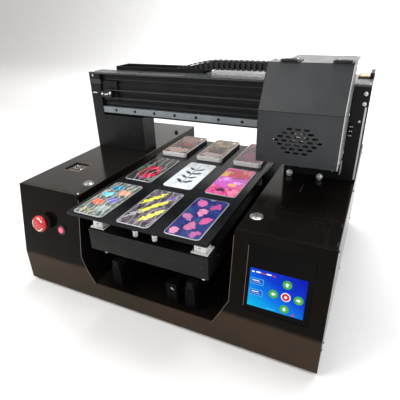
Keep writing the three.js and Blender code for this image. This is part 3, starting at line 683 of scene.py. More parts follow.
# ---------------------------------------------------------------- table screw with its thread
def threaded(name, node, body, pitch, starts, root, crest):
    """The screw with its thread, plain at both journals, and a clamped collar at the back."""
    lo, hi = span(node)
    x, z = SCREW_AXIS
    n, step = 20, pitch / starts / 6
    count = int((hi.y - lo.y) / step)
    rings = []
    for i in range(count + 1):
        y = lo.y + (hi.y - lo.y) * i / count
        ring = []
        for j in range(n):
            a = TAU * j / n
            ph = (starts * (y / pitch + j / n)) % 1
            r = root + (crest - root) * max(0.0, min(1.0, 2.4 * abs(ph - 0.5) - 0.1))
            if y < lo.y + FRONT_JOURNAL or y > hi.y - REAR_JOURNAL:
                r = crest
            ring.append((x + r * math.cos(a), y, z + r * math.sin(a)))
        rings.append(ring)
    s = Shape().loft(rings)
    s.lathe([(crest + 0.1, 0), (8.6, 0), (9, 0.5), (9, 9.5), (8.6, 10), (crest + 0.1, 10), (crest + 0.1, 0)], 28, 1,
            on_back(x, 486, z), ring=True)
    for k in range(2):
        a = TAU * k / 2 + 0.6
        out = (math.cos(a), 0, math.sin(a))
        s.screw(place((x + 8.7 * out[0], 491, z + 8.7 * out[2]), out, BACK), 1.2, "flat", 2)
    s.build(name, body, ["steel", "alu", "oxide"], "steel", [node], smooth=50)


y_lo, y_hi = span("y_bearing")
SCREW_AXIS = ((y_lo.x + y_hi.x) / 2, 76.0)
FRONT_JOURNAL, REAR_JOURNAL = 12, 22
threaded("table_screw_thread", "y_screw", "y_screw_body", pitch=20, starts=2, root=5.0, crest=6.0)


# ---------------------------------------------------------------- stepper motors
def motor(s, m, c, h):
    """A square stepper, c across and h long, drawn along local Z: end bells, laminations, screws and a socket."""
    s.plate(c, c, 0, 8, 4, 0.5, 1, m)
    for i in range(int((h - 18) / 2.0)):
        z = 8 + i * 2.0
        s.plate(c - 1.2, c - 1.2, z, z + 1.85, 5.5, 0.2, 0, m)
    s.plate(c, c, h - 10, h, 4, 0.5, 1, m)
    for sx, sy in grid((-1, 1), (-1, 1)):
        s.screw(off(m, sx * (c / 2 - 5), sy * (c / 2 - 5), h), 2.4, "dome", 2)
    s.lathe([(4.4, 0), (4.4, 0.8), (3.9, 1.0), (0.2, 1.0)], 24, 2, off(m, 0, 0, h))
    side = off(m, 0, -c / 2, h - 9) @ Matrix.Rotation(math.pi / 2, 4, "X")
    s.plate(16, 6, 0, 3.2, 0.8, 0.3, 3, side)


xm_lo, xm_hi = span("x_motor")
s = Shape()
motor(s, on_back((xm_lo.x + xm_hi.x) / 2, xm_lo.y, (xm_lo.z + xm_hi.z) / 2),
      xm_hi.x - xm_lo.x, xm_hi.y - xm_lo.y - 1.2)
s.build("x_motor_body", "base", ["plastic", "alu", "oxide", "white"], "dark_plastic", ["x_motor"])
ym_lo, ym_hi = span("y_motor")
s = Shape()
motor(s, on_back((ym_lo.x + ym_hi.x) / 2, ym_lo.y, SCREW_AXIS[1]), ym_hi.x - ym_lo.x, 42)
s.plate(40, 50, 0.1, 11.8, 2, 0.6, 4, on_top((ym_lo.x + ym_hi.x) / 2, 531, 43.4))
s.build("y_motor_body", "base", ["plastic", "alu", "oxide", "white", "satin"], "dark_plastic", ["y_motor"])


# ---------------------------------------------------------------- cross axis: rail bolts, belt, idler fixings
s = Shape()
R_LO, R_HI = span("x_rail")
BOLT_PITCH = 60
for k in range(10):
    s.screw(on_front(-274 + BOLT_PITCH * k, R_LO.y + 3.4, (R_LO.z + R_HI.z) / 2), 3.3, "socket")
s.build("rail_bolts", "base", ["oxide"], "steel")

s = Shape()
p_lo, p_hi = span("x_idler_pulley")
d_lo, d_hi = span("x_drive_pulley")
ax0, ax1, bz = (p_lo.x + p_hi.x) / 2, (d_lo.x + d_hi.x) / 2, (p_lo.z + p_hi.z) / 2
b_lo, b_hi = span("x_belt")
BELT_R, BELT_PITCH, ROOT_R, TOOTH_R, BELT_BACK_R = 10.0, 4.0, 9.95, 9.35, 10.8
straight, bend = ax1 - ax0, math.pi * BELT_R
total = 2 * straight + 2 * bend
steps = round(total / BELT_PITCH) * 4
rings = []
for i in range(steps):
    d = total * i / steps
    inner = TOOTH_R if i % 4 in (1, 2) else ROOT_R
    if d < straight:
        p, nrm = (ax0 + d, bz), (0, -1)
    elif d < straight + bend:
        a = (d - straight) / BELT_R
        p, nrm = (ax1, bz), (math.sin(a), -math.cos(a))
    elif d < 2 * straight + bend:
        p, nrm = (ax1 - (d - straight - bend), bz), (0, 1)
    else:
        a = (d - 2 * straight - bend) / BELT_R
        p, nrm = (ax0, bz), (-math.sin(a), math.cos(a))
    corners = [(b_lo.y, inner), (b_hi.y, inner), (b_hi.y, BELT_BACK_R), (b_lo.y, BELT_BACK_R)]
    rings.append([(p[0] + nrm[0] * r, y, p[1] + nrm[1] * r) for y, r in corners])
s.loft(rings, ring=True)
s.build("toothed_belt", "base", ["belt"], "rubber", ["x_belt"], smooth=50)

s = Shape()
s.lathe([(3.0, 0), (3.0, 1.6), (2.6, 2.0), (0.3, 2.0)], 24, 0, on_front(ax0, 283.9, bz))
s.build("idler_bolt", "x_idler", ["zinc"], "steel")
s = Shape()
s.screw(on_front(ax1, 281.0, bz), 2.8)
s.build("drive_bolt", "x_drive", ["zinc"], "steel")

s = Shape()
s.screws([(x, 294.4, z) for z in (386, 424) for x in (-312, -271)], FRONT, UP, 1.7, "dome", 1)
# the idler's yoke: a bent strap in front of the pulley with the belt tensioner's two screws
yoke = on_front(-292, 280.9, 398.4)
s.plate(33, 15, 0.05, 2.0, 1.5, 0.4, 1, yoke)
s.plate(15, 2.2, 0, 13.4, 0.8, 0.3, 1, place((-307.5, 294.35, 398.4), FRONT, RIGHT))
for x, z, r in ((-12.5, 0.5, 3.6), (13, 3.2, 4.4)):
    s.lathe([(r, 2.0), (r, 3.0), (r * 0.88, 4.2), (r * 0.6, 5.0), (0.3, 5.2)], 28, 0,
            off(yoke, x, z))
s.plate(13, 3.6, 2.0, 3.4, 0.8, 0.3, 0, yoke @ Matrix.Rotation(math.radians(9), 4, "Z"), steps=3)
s.build("idler_fixings", "base", ["zinc", "oxide"], "steel")

# the two long seams of the folded beam cover and its fixing screws
s = Shape()
BEAM_FRONT = 300.0
for z in (369.5, 433.5):
    s.plate(620, 1.6, 0.03, 0.7, 0.7, 0.2, 0, on_front(0, BEAM_FRONT, z))
for k in range(6):
    s.screw(on_front(-240 + 96 * k, BEAM_FRONT, 440.0), 1.8, "dome", 1)
s.build("beam_seams", "base", ["cover", "oxide"], "satin_frame")

# small parts on the gantry's front faces, and a painted highlight down the right column's edge
s = Shape()
g_y = span("gantry_side_left")[0].y
for x, z, r, kind in ((-338, 443, 3.2, "dome"), (341, 435, 4.9, "dome"), (341, 415, 4.9, "dome"),
                      (338, 379, 2.4, "flat")):
    s.screw(on_front(x, g_y, z), r, kind, 0)
s.screws([(x, g_y, z) for x, z in ((-221, 293), (-219, 271), (205, 300), (300, 260), (205, 260), (-300, 260))],
         FRONT, UP, 2.2, "flat", 1)
s.plate(34, 12, 0.05, 0.9, 1.2, 0.3, 5, on_front(-330, g_y, 428.5))
s.plate(14, 2.6, 0.05, 1.0, 1.2, 0.3, 3, on_front(-337, g_y, 399))
# painted highlight: a pale strip down the right column's front edge
s.plate(3.6, 158, 0.05, 0.8, 0.8, 0.25, 2, on_front(345.6, g_y, 330))
for k in range(3):
    z = 350 + k * 9.5
    s.plate(8, 7, 0.05, 6.2, 1, 0.4, 4, on_front(324, g_y, z))
    for x in (322.2, 325.8):
        s.lathe([(1.3, 0), (1.3, 0.7), (0.6, 0.8), (0.2, 0.3)], 12, 0, on_front(x, g_y - 6.2, z))
s.build("column_fixings_and_edge_highlight", "base", ["zinc", "oxide", "pale", "white", "plastic", "cover"], "steel")

# top plate: fold line, end plate, two dark slots, screws, and the amber sensor strip behind the right end
s = Shape()
T_LO, T_HI = span("gantry_top_plate")
top = T_HI.z
s.plate(32, 138, 0.05, 0.9, 1.5, 0.3, 0, on_top(334, 360.4, top))
s.plate(700, 2.2, 0.05, 0.7, 1.0, 0.25, 1, on_top(0, T_LO.y + 1.2, top))
for x in (322, 334):
    s.plate(8, 3.2, 0.9, 1.3, 1.2, 0.15, 2, on_top(x, 296.5, top))
for x in (-340, -60, 0, 346):
    s.screw(on_top(x, 297, top + (0.9 if x > 300 else 0)), 2.7, "dome", 2 if -100 < x < 100 else 3)
s.screws([(x, y, top + 0.9) for y in (318, 424) for x in (324, 344)], UP, BACK, 1.9, "dome", 3)
s.screws(grid((-20, 60, 140, 220, 300), 421, top), UP, BACK, 2.4, "dome", 3)
s.plate(30, 60, 0.9, 4.2, 2, 0.5, 1, on_top(333, 394, top))
s.plate(24, 52, 4.2, 5.6, 1.5, 0.3, 4, on_top(333, 394, top))
s.plate(8, 64, 0.9, 13, 1.5, 0.5, 2, on_top(345.2, 394, top))
s.build("top_plate_fittings", "base", ["shell", "cover", "plastic", "zinc", "amber"], "light_plate")


# ---------------------------------------------------------------- console
stop = console(-278, 79.5)
s = Shape()
s.lathe([(0.5, 14.4), (7.0, 14.4), (7.3, 14.0), (7.3, 10.8), (7.6, 10.5), (12.6, 10.5), (15, 10.9), (17.2, 11.7),
         (18.6, 12.7), (19.4, 14.2), (19.5, 15.6), (19.3, 17.4), (18.6, 19.2), (17.2, 20.9), (15.2, 22.1),
         (12.6, 22.9), (11.9, 23.0), (11.3, 22.5), (10.4, 22.4), (9.6, 22.9), (6, 23.4), (0.4, 23.6)], 64, 0, stop)


def arc_arrow(s, m, radius, a0, a1, z, w, k):
    """A raised turn arrow on a cap: a curved bar with a pointed head, following the dome."""
    fall = lambda r: z - 0.0115 * max(0.0, r - 4) ** 2
    rings, n = [], 14
    for i in range(n + 1):
        t = i / n
        a = a0 + (a1 - a0) * t
        half = w / 2 if t < 0.72 else w * 1.25 * (1 - t) / 0.28 + 0.05
        pts = []
        for r, dz in ((radius - half, -0.5), (radius + half, -0.5), (radius + half, 0.35), (radius - half, 0.35)):
            pts.append((r * math.cos(a), r * math.sin(a), fall(r) + dz))
        rings.append(pts)
    s.loft(rings, k, m)


for k in range(3):
    arc_arrow(s, stop, 14.6, math.radians(120 * k + 95), math.radians(120 * k + 25), 23.6, 2.0, 1)
s.build("stop_button_head", "stop_head", ["red", "white"], "stop_red", ["estop_head"])
s = Shape()
s.lathe([(10.9, 0.4), (16.2, 0.5), (16.6, 1.2), (16.2, 5.4), (15.4, 6.2), (11, 6.3), (10.9, 0.4)], 48, 0, stop,
        ring=True)
s.loft(knurl(60, (17.2, 0.06, 0), (17.4, 0.3, 0.4), (17.3, 1.2, 0.4), (17.0, 1.6, 0), (16.4, 1.6, 0),
             (16.4, 0.06, 0)), 0, stop, ring=True)
s.build("stop_button_nut", "base", ["plastic"], "dark_plastic", smooth=40)

lamp = console(-228, 89)
s = Shape()
s.lathe([(8.3, 2.15), (11.1, 2.2), (11.6, 1.2), (11.9, 0.2), (12.3, 0.1), (12.2, 2.1), (11.5, 3.0), (8.9, 3.0),
         (8.3, 2.15)], 44, 0, lamp, ring=True)
s.build("lamp_bezel", "base", ["oxide"], "dark_plastic", smooth=40)
s = Shape()
s.lathe([(0.3, 4.42), (5.2, 4.42), (5.5, 4.7), (5.2, 5.0), (3.2, 4.85), (0.3, 4.8)], 36, 0, lamp)
s.build("lamp_cap", "button", ["lamp"], "lamp_pink")

# the screen: a graded glass face with generic panels, a ring of arrow keys and a stop key, and no lettering
scr_lo, scr_hi = span("screen_glass")
mid = console((scr_lo.x + scr_hi.x) / 2, 101, -0.8)


def screen_face():
    """A lit picture that runs from light blue at one corner to deep blue at the opposite one."""
    mat, t, bsdf = nodes_of("screen_glass_lit")
    m = new(t, "Mapping", vector_type="TEXTURE", Location=mm(*mid.translation), Rotation=(0, math.radians(-60), 0),
            Scale=(0.115, 1, 0.115))
    t.links.new(own_coords(t), m.inputs[0])
    across = wire(t, "SeparateXYZ", (m.outputs[0],), "X")
    centred = wire(t, "Math", (across, 0.5), operation="ADD")
    ripple = wire(t, "MixRGB", (0.07, centred, pattern(t, 18, detail=4)), blend_type="MIX")
    col = ramp(t, ripple, [(0.08, (0.002, 0.50, 0.86)), (0.36, (0.001, 0.20, 0.82)), (0.60, (0.001, 0.045, 0.66)),
                           (0.92, (0.002, 0.009, 0.46))])
    dim = wire(t, "MixRGB", (1, col, (0.15, 0.15, 0.15, 1)), blend_type="MULTIPLY")
    t.links.new(dim, bsdf.inputs["Base Color"])
    t.links.new(col, bsdf.inputs["Emission Color"])
    bsdf.inputs["Emission Strength"].default_value = 0.8
    sheen(bsdf, 0.05)
    t.links.new(spread(t, pattern(t, 40), 0.08, 0.16), bsdf.inputs["Roughness"])
    return mat


dress("screen_glass", screen_face(), bevel=0.3)


def lit(name, colour):
    return finish_of(name, colour, 0.22, grain=(900, 0.02), vary=0.12, spec=0.2, glow=0.45)


UI = [lit("screen_white", (0.62, 0.70, 0.74)), lit("screen_navy", (0.008, 0.04, 0.36)),
      lit("screen_green", (0.035, 0.26, 0.025)), lit("screen_red", (0.42, 0.012, 0.03)),
      lit("screen_cyan", (0.03, 0.34, 0.62)), lit("screen_grey", (0.16, 0.30, 0.55))]
s = Shape()


def pane(x, y, w, h, k, lift=0.0, r=1.0):
    s.plate(w, h, 0.02 + lift, 0.16 + lift, r, 0.03, k, mid, at=(x, y), steps=2)


for i, (w, k) in enumerate(((5, 0), (9, 0), (7, 3), (9, 0), (6, 3))):
    pane(-44.5 + 9.4 * i, 31 + (i % 2) * 0.6, w, 2.6, k, 0, 1)
for y in (13, -9):
    pane(-36, y, 24, 12, 4, 0, 1.2)
    pane(-36, y, 21.6, 9.6, 1, 0.14, 0.8)
    pane(-38, y + 1.8, 13, 1.6, 0, 0.28, 0.7)
    pane(-36, y - 1.8, 17, 1.2, 5, 0.28, 0.5)
pane(-8, -34.6, 17, 1.4, 4, 0, 0.6)
ring_x, ring_y = 17, -3
for dx, dy in ((0, 24), (-22, 0), (22, 0), (0, -24)):
    key = off(mid, ring_x + dx, ring_y + dy)
    s.lathe([(8.2, 0.02), (8.2, 0.26), (7.8, 0.36), (0.2, 0.36)], 32, 2, key)
    arrow = [(4.0, 0), (-0.2, 4.0), (-0.2, 1.6), (-3.6, 1.6), (-3.6, -1.6), (-0.2, -1.6), (-0.2, -4.0)]
    s.prism(arrow, 0.3, 0.52, 0, key @ Matrix.Rotation(math.atan2(dy, dx), 4, "Z"))
key = off(mid, ring_x, ring_y)
s.lathe([(8.4, 0.02), (8.4, 0.28), (8.0, 0.38), (0.2, 0.38)], 32, 0, key)
s.lathe([(7.0, 0.36), (7.0, 0.5), (6.6, 0.56), (0.2, 0.56)], 32, 3, key)
s.plate(4.2, 4.2, 0.5, 0.72, 0.8, 0.05, 0, key, steps=2)
s.lathe([(2.1, 0.02), (2.1, 0.3), (1.8, 0.38), (0.2, 0.38)], 24, 3, off(mid, 33, -34))
s.build("screen_panels", "base", UI, "screen", smooth=30)
s = Shape()
# a thin dark rim round the screen's bezel with a light strip down its left side as a painted highlight, and a narrow
# lip round the glass
outer = console((205.3 + 321.7) / 2, (17.3 + 149.7) / 2)


def frame_ring(s, w, h, r, band, z0, z1, k, m):
    """A rectangular rim, this wide, with rounded corners and its top edges broken."""
    rows = ((0, z0), (0, z1 - 0.15), (0.15, z1), (band - 0.15, z1), (band, z1 - 0.15), (band, z0))
    s.loft([rounded(w, h, r, inset, z, steps=5, least=0.2) for inset, z in rows], k, m, ring=True)


frame_ring(s, 117.6, 133.6, 6.4, 0.4, -0.02, 0.2, 1, outer)
# painted highlight: the light strip down the bezel's left side only
s.plate(0.8, 122, -0.02, 0.3, 0.3, 0.05, 0, outer, at=(-58.4, 1))
frame_ring(s, 103.6, 78.8, 1.4, 1.6, -0.75, 0.15, 1, off(mid, 0, 0, 0.2))
s.build("bezel_edge", "base", ["umber", "dull"], "dark_plastic", smooth=40)

# ---------------------------------------------------------------- decks
s = Shape()
DECK_TOP = span("deck_left")[1].z
for x, y in ((209, 275), (275.5, 275)):
    ball = [(7.3 * math.sin(math.radians(a)), 6.6 - 7.3 * math.cos(math.radians(a))) for a in range(35, 180, 12)]
    s.lathe([(4.4, 0.05), *ball, (0.2, 13.9)], 36, 5, on_top(x, y, DECK_TOP))
s.plate(17, 46, 0.05, 0.6, 1, 0.2, 4, on_top(259, 214, DECK_TOP))
s.plate(0.8, 40, 0.05, 0.8, 0.3, 0.1, 1, on_top(250, 213, DECK_TOP))
# painted highlights: a thin light strip along each deck's outer edge
for side in (-1, 1):
    s.plate(0.9, 556, 0.0, 0.3, 0.4, 0.1, 1, on_top(side * 349.3, 285, DECK_TOP))
s.screw(on_top(-183.5, 8, DECK_TOP), 2.8)
s.screw(on_top(-199, 481, DECK_TOP), 5.5, "socket", 2)
s.screws([(x, y, DECK_TOP) for x, y in ((-335, 552), (335, 552), (-190, 552), (190, 552), (-335, 300), (335, 452))],
         UP, BACK, 2.6, "flat", 2)
for side in (-1, 1):
    for y in (22, 84):
        s.plate(1.6, 14, 0.05, 0.8, 0.7, 0.3, 3, on_top(side * 346.4, y, DECK_TOP))
s.build("deck_screws_and_edge_highlights", "base", ["zinc", "shell", "oxide", "plastic", "dull", "pale"], "steel")

s = Shape()
p_lo, p_hi = span("port_pocket")
pc = ((p_lo.x + p_hi.x) / 2, (p_lo.y + p_hi.y) / 2)
floor = on_top(pc[0], pc[1], 240)
# painted shade: dark strips lining the pocket's left and back walls, where they lie in shadow
for x, y, w, h in ((-22.4, 0, 2.4, 49), (0, 23.4, 47, 2.4)):
    s.plate(w, h, 0.05, 5.4, 0.6, 0.2, 3, floor, at=(x, y))
for dx, dy in ((-16, 16), (17, 16), (-16, -17), (17, -17)):
    s.screw(off(floor, dx, dy), 2.2, "dome", 2)
s.lathe([(4.6, 0.05), (4.6, 2.2), (4.0, 2.8), (2.6, 2.8), (2.4, 1.6), (0.4, 1.6)], 28, 2, off(floor, 15, -3))
frame_ring(s, 14.4, 12.4, 1, 1.4, 3.35, 3.9, 1, off(floor, -1, 0))
s.build("port_fittings_and_wall_shade", "base", ["pale", "alu", "zinc", "plastic"], "aluminium")

# a thin escutcheon ring round each lid's lock
for name, side in (("left", -1), ("right", 1)):
    s = Shape()
    s.lathe([(10.7, 0.06), (12.8, 0.06), (12.6, 0.8), (11.9, 1.2), (10.7, 1.2), (10.7, 0.06)], 44, 0,
            on_top(side * 198, 60, DECK_TOP), ring=True)
    s.build(f"lid_trim_{name}", f"lid_{name}", ["zinc"], "steel")


def lean_y(z):
    """The folded front's y at this height."""
    return -(DECK_Z - z) * LEAN_RUN / LEAN_RISE if z > DECK_Z - LEAN_RISE else -LEAN_RUN


# painted highlights along the cut edges of the folded front on both sides of the channel: a wider grey strip on the
# left, a narrower umber one on the right
s = Shape()
for side, wide in ((-1, 1.3), (1, 0.9)):
    front = [Vector((side * x, lean_y(z), z))
             for x, z in ((177, 236), (177, 170), (177, 104), (160.5, 72.8), (145, 43.2))]
    rings = []
    for i, p in enumerate(front):
        course = (front[min(i + 1, 4)] - front[max(i - 1, 0)]).normalized()
        outward = Vector((0, -1, 0)).cross(course).normalized() * -side
        rings.append([p + outward * r + Vector((0, y, 0))
                      for r, y in ((wide, -0.25), (0.1, -0.25), (0.1, 0.2), (wide, 0.2))])
    s.loft(rings, 0 if side < 0 else 1)
s.build("opening_edge_highlights", "base", ["shell", "umber"], "gloss_body")

# a guard wall beside the right rail
s = Shape()
s.plate(264, 186, 0, 1.2, 4, 0.3, 0, place((139.5, 428, 137.2), RIGHT, UP))
s.plate(12, 264, 0.05, 1.25, 2, 0.3, 0, on_top(145.4, 428, 43.2))
s.screws(grid(146.5, (320, 392, 464, 536), 44.4), UP, BACK, 2.4, "socket", 1)
s.build("rail_guard", "base", ["dull", "zinc"], "gloss_body")

# a cable clip on the channel's right wall, and screws along the liner's walls and floor
LINER_WALL, LINER_FLOOR = 176.9, 43.05
s = Shape()
s.plate(22, 13, 0.05, 4.2, 2, 0.6, 0, place((LINER_WALL, 18, 182), LEFT, UP))
s.screw(place((172.7, 14, 182), LEFT, UP), 2.2, "dome", 1)
for side in (-1, 1):
    s.screws(grid(side * LINER_WALL, (60, 200, 340, 480), 214), (-side, 0, 0), UP, 2.3, "dome", 2)
s.screws(grid((-130, 130), (40, 200, 360, 520), LINER_FLOOR), UP, BACK, 2.6, "dome", 2)
s.build("channel_fixings", "base", ["satin", "zinc", "oxide"], "satin_frame")

s = Shape()
for n in FEET.split():
    c = node_centre(n)
    for r0, r1, z in ((17.0, 18.6, -4.4), (17.4, 18.9, -2.6), (17.4, 18.9, -0.9)):
        s.lathe([(r0, z), (r1 - 0.3, z), (r1, z + 0.4), (r1 - 0.3, z + 0.9), (r0, z + 0.9), (r0, z)], 36, 0,
                Matrix.Translation((c.x, c.y, 0)), ring=True)
s.build("feet_ribs", "base", ["rubber"], "rubber")

# rear and side panel screws, the inlet's two screws and a pair of grommets beside it
s = Shape()
RY = span("rear_panel")[1].y
s.screws(grid((-338, -190, 190, 338), RY, (14, 232)), BACK, UP, 2.4)
s.screws(grid((-90, 0, 90), RY, 20), BACK, UP, 2.4)
s.screws([(-298.5, RY + 3, 89.0), (-253.5, RY + 3, 58.8)], BACK, UP, 1.6, "flat")
for x in (-225, -205):
    s.lathe([(4.2, 0.05), (7, 0.05), (7, 1.2), (6.2, 2.2), (4.6, 2.2), (4.2, 1.4), (4.2, 0.05)], 32, 1,
            on_back(x, RY, 74), ring=True)
    s.lathe([(4.0, 0.04), (4.0, 0.5), (3.4, 0.6), (0.3, 0.6)], 24, 2, on_back(x, RY, 74))
for side in (-1, 1):
    s.screws([(side * 350, y, z) for y, z in ((-10, 40), (30, 228), (280, 228), (548, 228), (548, 18), (280, 18),
                                              (30, 18))], (side, 0, 0), UP, 2.4)
s.build("panel_screws", "base", ["oxide", "rubber", "plastic"], "steel")

# ---------------------------------------------------------------- carriage
s = Shape()
SHELL_TOP = 498
HINGES = (201, 297)
for x in HINGES:
    m = on_top(x, 242, SHELL_TOP + 2.6)
    for dx in (-9, 9):
        s.screw(off(m, dx, 6), 2.9, "dome", 1)
    s.plate(35, 6, 0.02, 0.8, 1.5, 0.3, 0, off(m, 0, -10.5))
    s.plate(30, 3.4, 0.02, 0.7, 1.2, 0.2, 0, off(m, 0, 15.5))
s.screws(grid((194, 312), (270, 342), SHELL_TOP), UP, BACK, 2.2, "dome", 1)
s.plate(122, 2.0, 0.02, 0.7, 0.9, 0.2, 2, on_top(253, 348.5, SHELL_TOP))
for side, x in ((-1, 158), (1, 318)):
    s.screws([(x, y, z) for y, z in ((188, 322), (256, 322), (256, 400), (232, 480))], (side, 0, 0), UP, 2.1,
             "dome", 1)
s.build("shell_fixings", "carriage", ["oxide", "zinc", "pale"], "steel")

# black painted hinge leaves over the shell's own, and the flap's knuckles
s = Shape()
for x in HINGES:
    s.plate(37, 41, 0.0, 3.1, 2, 0.5, 0, on_top(x, 242.5, 498.02))
s.build("hinge_leaves", "carriage", ["oxide"], "dark_plastic")
s = Shape()
for x in HINGES:
    s.lathe([(3.15, 0), (3.0, 0), (3.45, 0.3), (3.45, 9.2), (3.25, 9.4), (3.25, 9.8), (3.45, 10.0), (3.45, 19.2),
             (3.25, 19.4), (3.25, 19.8), (3.45, 20.0), (3.45, 28.9), (3.0, 29.2), (3.15, 29.2), (3.15, 0)], 24, 0,
            place((x - 14.6, 220.4, 501.4), RIGHT, UP), ring=True)
s.build("hinge_knuckles", "flap", ["oxide"], "dark_plastic")

# painted highlights: pale strips on the cover's right-hand folded edges, darker strips on its left-hand ones, and its
# fold line
s = Shape()
for x, wide, k in ((317.3, 1.3, 0), (158.6, 0.8, 1)):
    for (y0, z0), (y1, z1) in (((170, 312.5), (170, 415.6)), ((170, 416.4), (221.4, 497.2))):
        d = Vector((0, y1 - y0, z1 - z0))
        out = Vector((0, -d.z, d.y)).normalized()
        s.plate(wide, d.length, 0.03, 0.45, 0.5, 0.12, k, place((x, (y0 + y1) / 2, (z0 + z1) / 2), out, d), steps=2)
s.plate(158, 1.0, -0.05, 0.35, 0.4, 0.1, 1, on_front(238, 170.05, 415.4), steps=2)
for x in (166, 310):
    s.screw(on_front(x, 170, 320), 1.8, "flat", 2)
s.build("cover_edge_highlights", "flap", ["pale", "satin", "oxide"], "cover_grey")

# the fan's hub cap
s = Shape()
f = node_centre("fan_rotor")
hub = on_front(f.x, span("fan_rotor")[0].y + 0.1, f.z)
s.lathe([(15.6, 0.05), (15.6, 0.6), (14.6, 1.0), (0.3, 1.0)], 40, 0, hub)
s.lathe([(5.5, 1.0), (5.5, 1.3), (5, 1.5), (0.3, 1.5)], 24, 1, hub)
s.build("fan_hub", "fan", ["zinc", "plastic"], "steel")

# the fan frame's screws, the circuit board on the mount plate and the head's screws
s = Shape()
s.screws(grid((f.x - 35.5, f.x + 35.5), span("fan_frame")[0].y, (f.z - 35.5, f.z + 35.5)), FRONT, UP, 2.4)
s.plate(112, 62, 0.5, 2.1, 2, 0.2, 1, on_front(240, 270, 424))
for x, z, w, h, t, k in ((206, 436, 18, 18, 2.4, 2), (236, 440, 12, 12, 2, 2), (262, 436, 22, 8, 6, 3),
                         (262, 420, 22, 8, 6, 3), (206, 408, 26, 7, 7, 3), (240, 410, 9, 14, 8, 2),
                         (284, 428, 8, 26, 7, 3)):
    s.plate(w, h, 2.0, 2.0 + t, 0.8, 0.3, k, on_front(x, 270, z))
s.screws(grid((188, 292), 267.9, (397, 451)), FRONT, UP, 1.8)
s.screws(grid((209, 253), (207, 245), 352), UP, BACK, 2.0, "socket")
s.build("carriage_board", "carriage", ["zinc", "board", "plastic", "white"], "dark_plastic")

INKS = [finish_of(n, c, 0.2, coat=0.4, grain=(600, 0.03), vary=0.1) for n, c in (
    ("ink_cyan", (0.02, 0.30, 0.55)), ("ink_magenta", (0.50, 0.02, 0.22)), ("ink_yellow", (0.70, 0.55, 0.02)),
    ("ink_black", (0.012, 0.012, 0.014)), ("ink_white", (0.75, 0.75, 0.73)))]

# ink dampers over the head, and their tubes to the cable arm
s = Shape()
for i in range(5):
    x = 215.5 + 7.8 * i
    s.plate(6.4, 24, 0.1, 16, 1.2, 0.5, 5, on_top(x, 228, 380))
    s.plate(5.2, 16, 16, 17.4, 1, 0.3, i, on_top(x, 228, 380))
    s.lathe([(1.9, 17.2), (1.9, 20.5), (1.5, 21), (0.3, 21)], 14, i, on_top(x, 228, 380))
    path = []
    p0, p1 = Vector((x, 228, 400)), Vector((x - 4, 226, 440 + 3 * i))
    p2, p3 = Vector((192, 236 + 4 * i, 478)), Vector((170 + 2.4 * i - 2, 262, 486.0))
    for q in range(19):
        u = q / 18
        path.append(p0 * (1 - u) ** 3 + p1 * 3 * u * (1 - u) ** 2 + p2 * 3 * u * u * (1 - u) + p3 * u ** 3)
    path += [Vector((p3.x, y, 484.2 + 0.2 * i)) for y in (272, 290, 320, 350)]
    s.tube(path, 1.05, 10, i)
s.plate(14, 9, 0, 3.4, 1.5, 0.5, 5, place((173, 284, 483), UP, RIGHT))
s.build("ink_dampers", "carriage", INKS + ["plastic"], "dark_plastic")

# under the carriage: nozzle plate, lamp window, nylon spacers
s = Shape()
hc, h_lo = node_centre("print_head"), span("print_head")[0]
s.plate(50, 54, 0.02, 0.8, 1.5, 0.25, 0, below(hc.x, hc.y, h_lo.z))
for i in range(6):
    s.plate(1.4, 44, 0.75, 0.95, 0.5, 0.05, 1, below(hc.x - 15 + 6 * i, hc.y, h_lo.z), steps=1)
lc, l_lo = node_centre("uv_lamp"), span("uv_lamp")[0]
s.plate(30, 60, 0.02, 0.9, 2, 0.3, 2, below(lc.x, lc.y, l_lo.z))
for i in range(2):
    for j in range(8):
        s.plate(4.2, 4.2, 0.85, 1.3, 0.5, 0.1, 3, below(lc.x - 5 + 10 * i, lc.y - 24.5 + 7 * j, l_lo.z), steps=1)
for x, y in ((168, 182), (308, 182), (200, 184), (292, 184)):
    s.lathe([(3.2, 0.05), (3.2, 3.6), (2.6, 4.4), (0.3, 4.4)], 18, 4, below(x, y, 312))
s.plate(1.6, 24, 0.1, 22, 0.6, 0.3, 5, on_top(320.6, 206, 296))
s.plate(5.4, 22, 0.1, 1.6, 0.6, 0.3, 5, on_top(318.4, 206, 316.6))
s.build("head_underside", "carriage", ["zinc", "plastic", "plastic", "brass", "white", "shell"], "steel")

# linear block ends on the cross rail
s = Shape()
xb_lo, xb_hi = span("x_block")
for x, side in ((xb_lo.x, -1), (xb_hi.x, 1)):
    z, out = (xb_lo.z + xb_hi.z) / 2, (side, 0, 0)
    s.plate(9, 28, 0.05, 4.2, 1.5, 0.5, 0, place((x, 283.6, z), out, UP))
    s.screws(grid(x + side * 4.2, 283.6, (z - 9, z + 9)), out, UP, 1.3, "dome", 1)
s.build("block_seals", "carriage", ["rubber", "zinc"], "steel")


# ---------------------------------------------------------------- cable chain
TRAY_Z, CLIMB, CLIMB_RUN = 427, 33, 190  # the climb ends at the machine's middle


def chain_z(x):
    """Height of the chain's lower edge along its run: flat in the tray, a smooth climb, then flat on top."""
    t = max(0.0, min(1.0, (x + CLIMB_RUN) / CLIMB_RUN))
    return TRAY_Z + CLIMB * t * t * (3 - 2 * t)


ch_lo, ch_hi = span("cable_chain")
samples, length, px = [(ch_lo.x, chain_z(ch_lo.x), 0.0)], 0.0, ch_lo.x
while px < ch_hi.x - 0.5:
    nx = px + 1.0
    length += math.hypot(1.0, chain_z(nx) - chain_z(px))
    samples.append((nx, chain_z(nx), length))
    px = nx
LINK_PITCH = 13.2
s = Shape()
yc, half_w, tall = (ch_lo.y + ch_hi.y) / 2, (ch_hi.y - ch_lo.y) / 2, 20.5


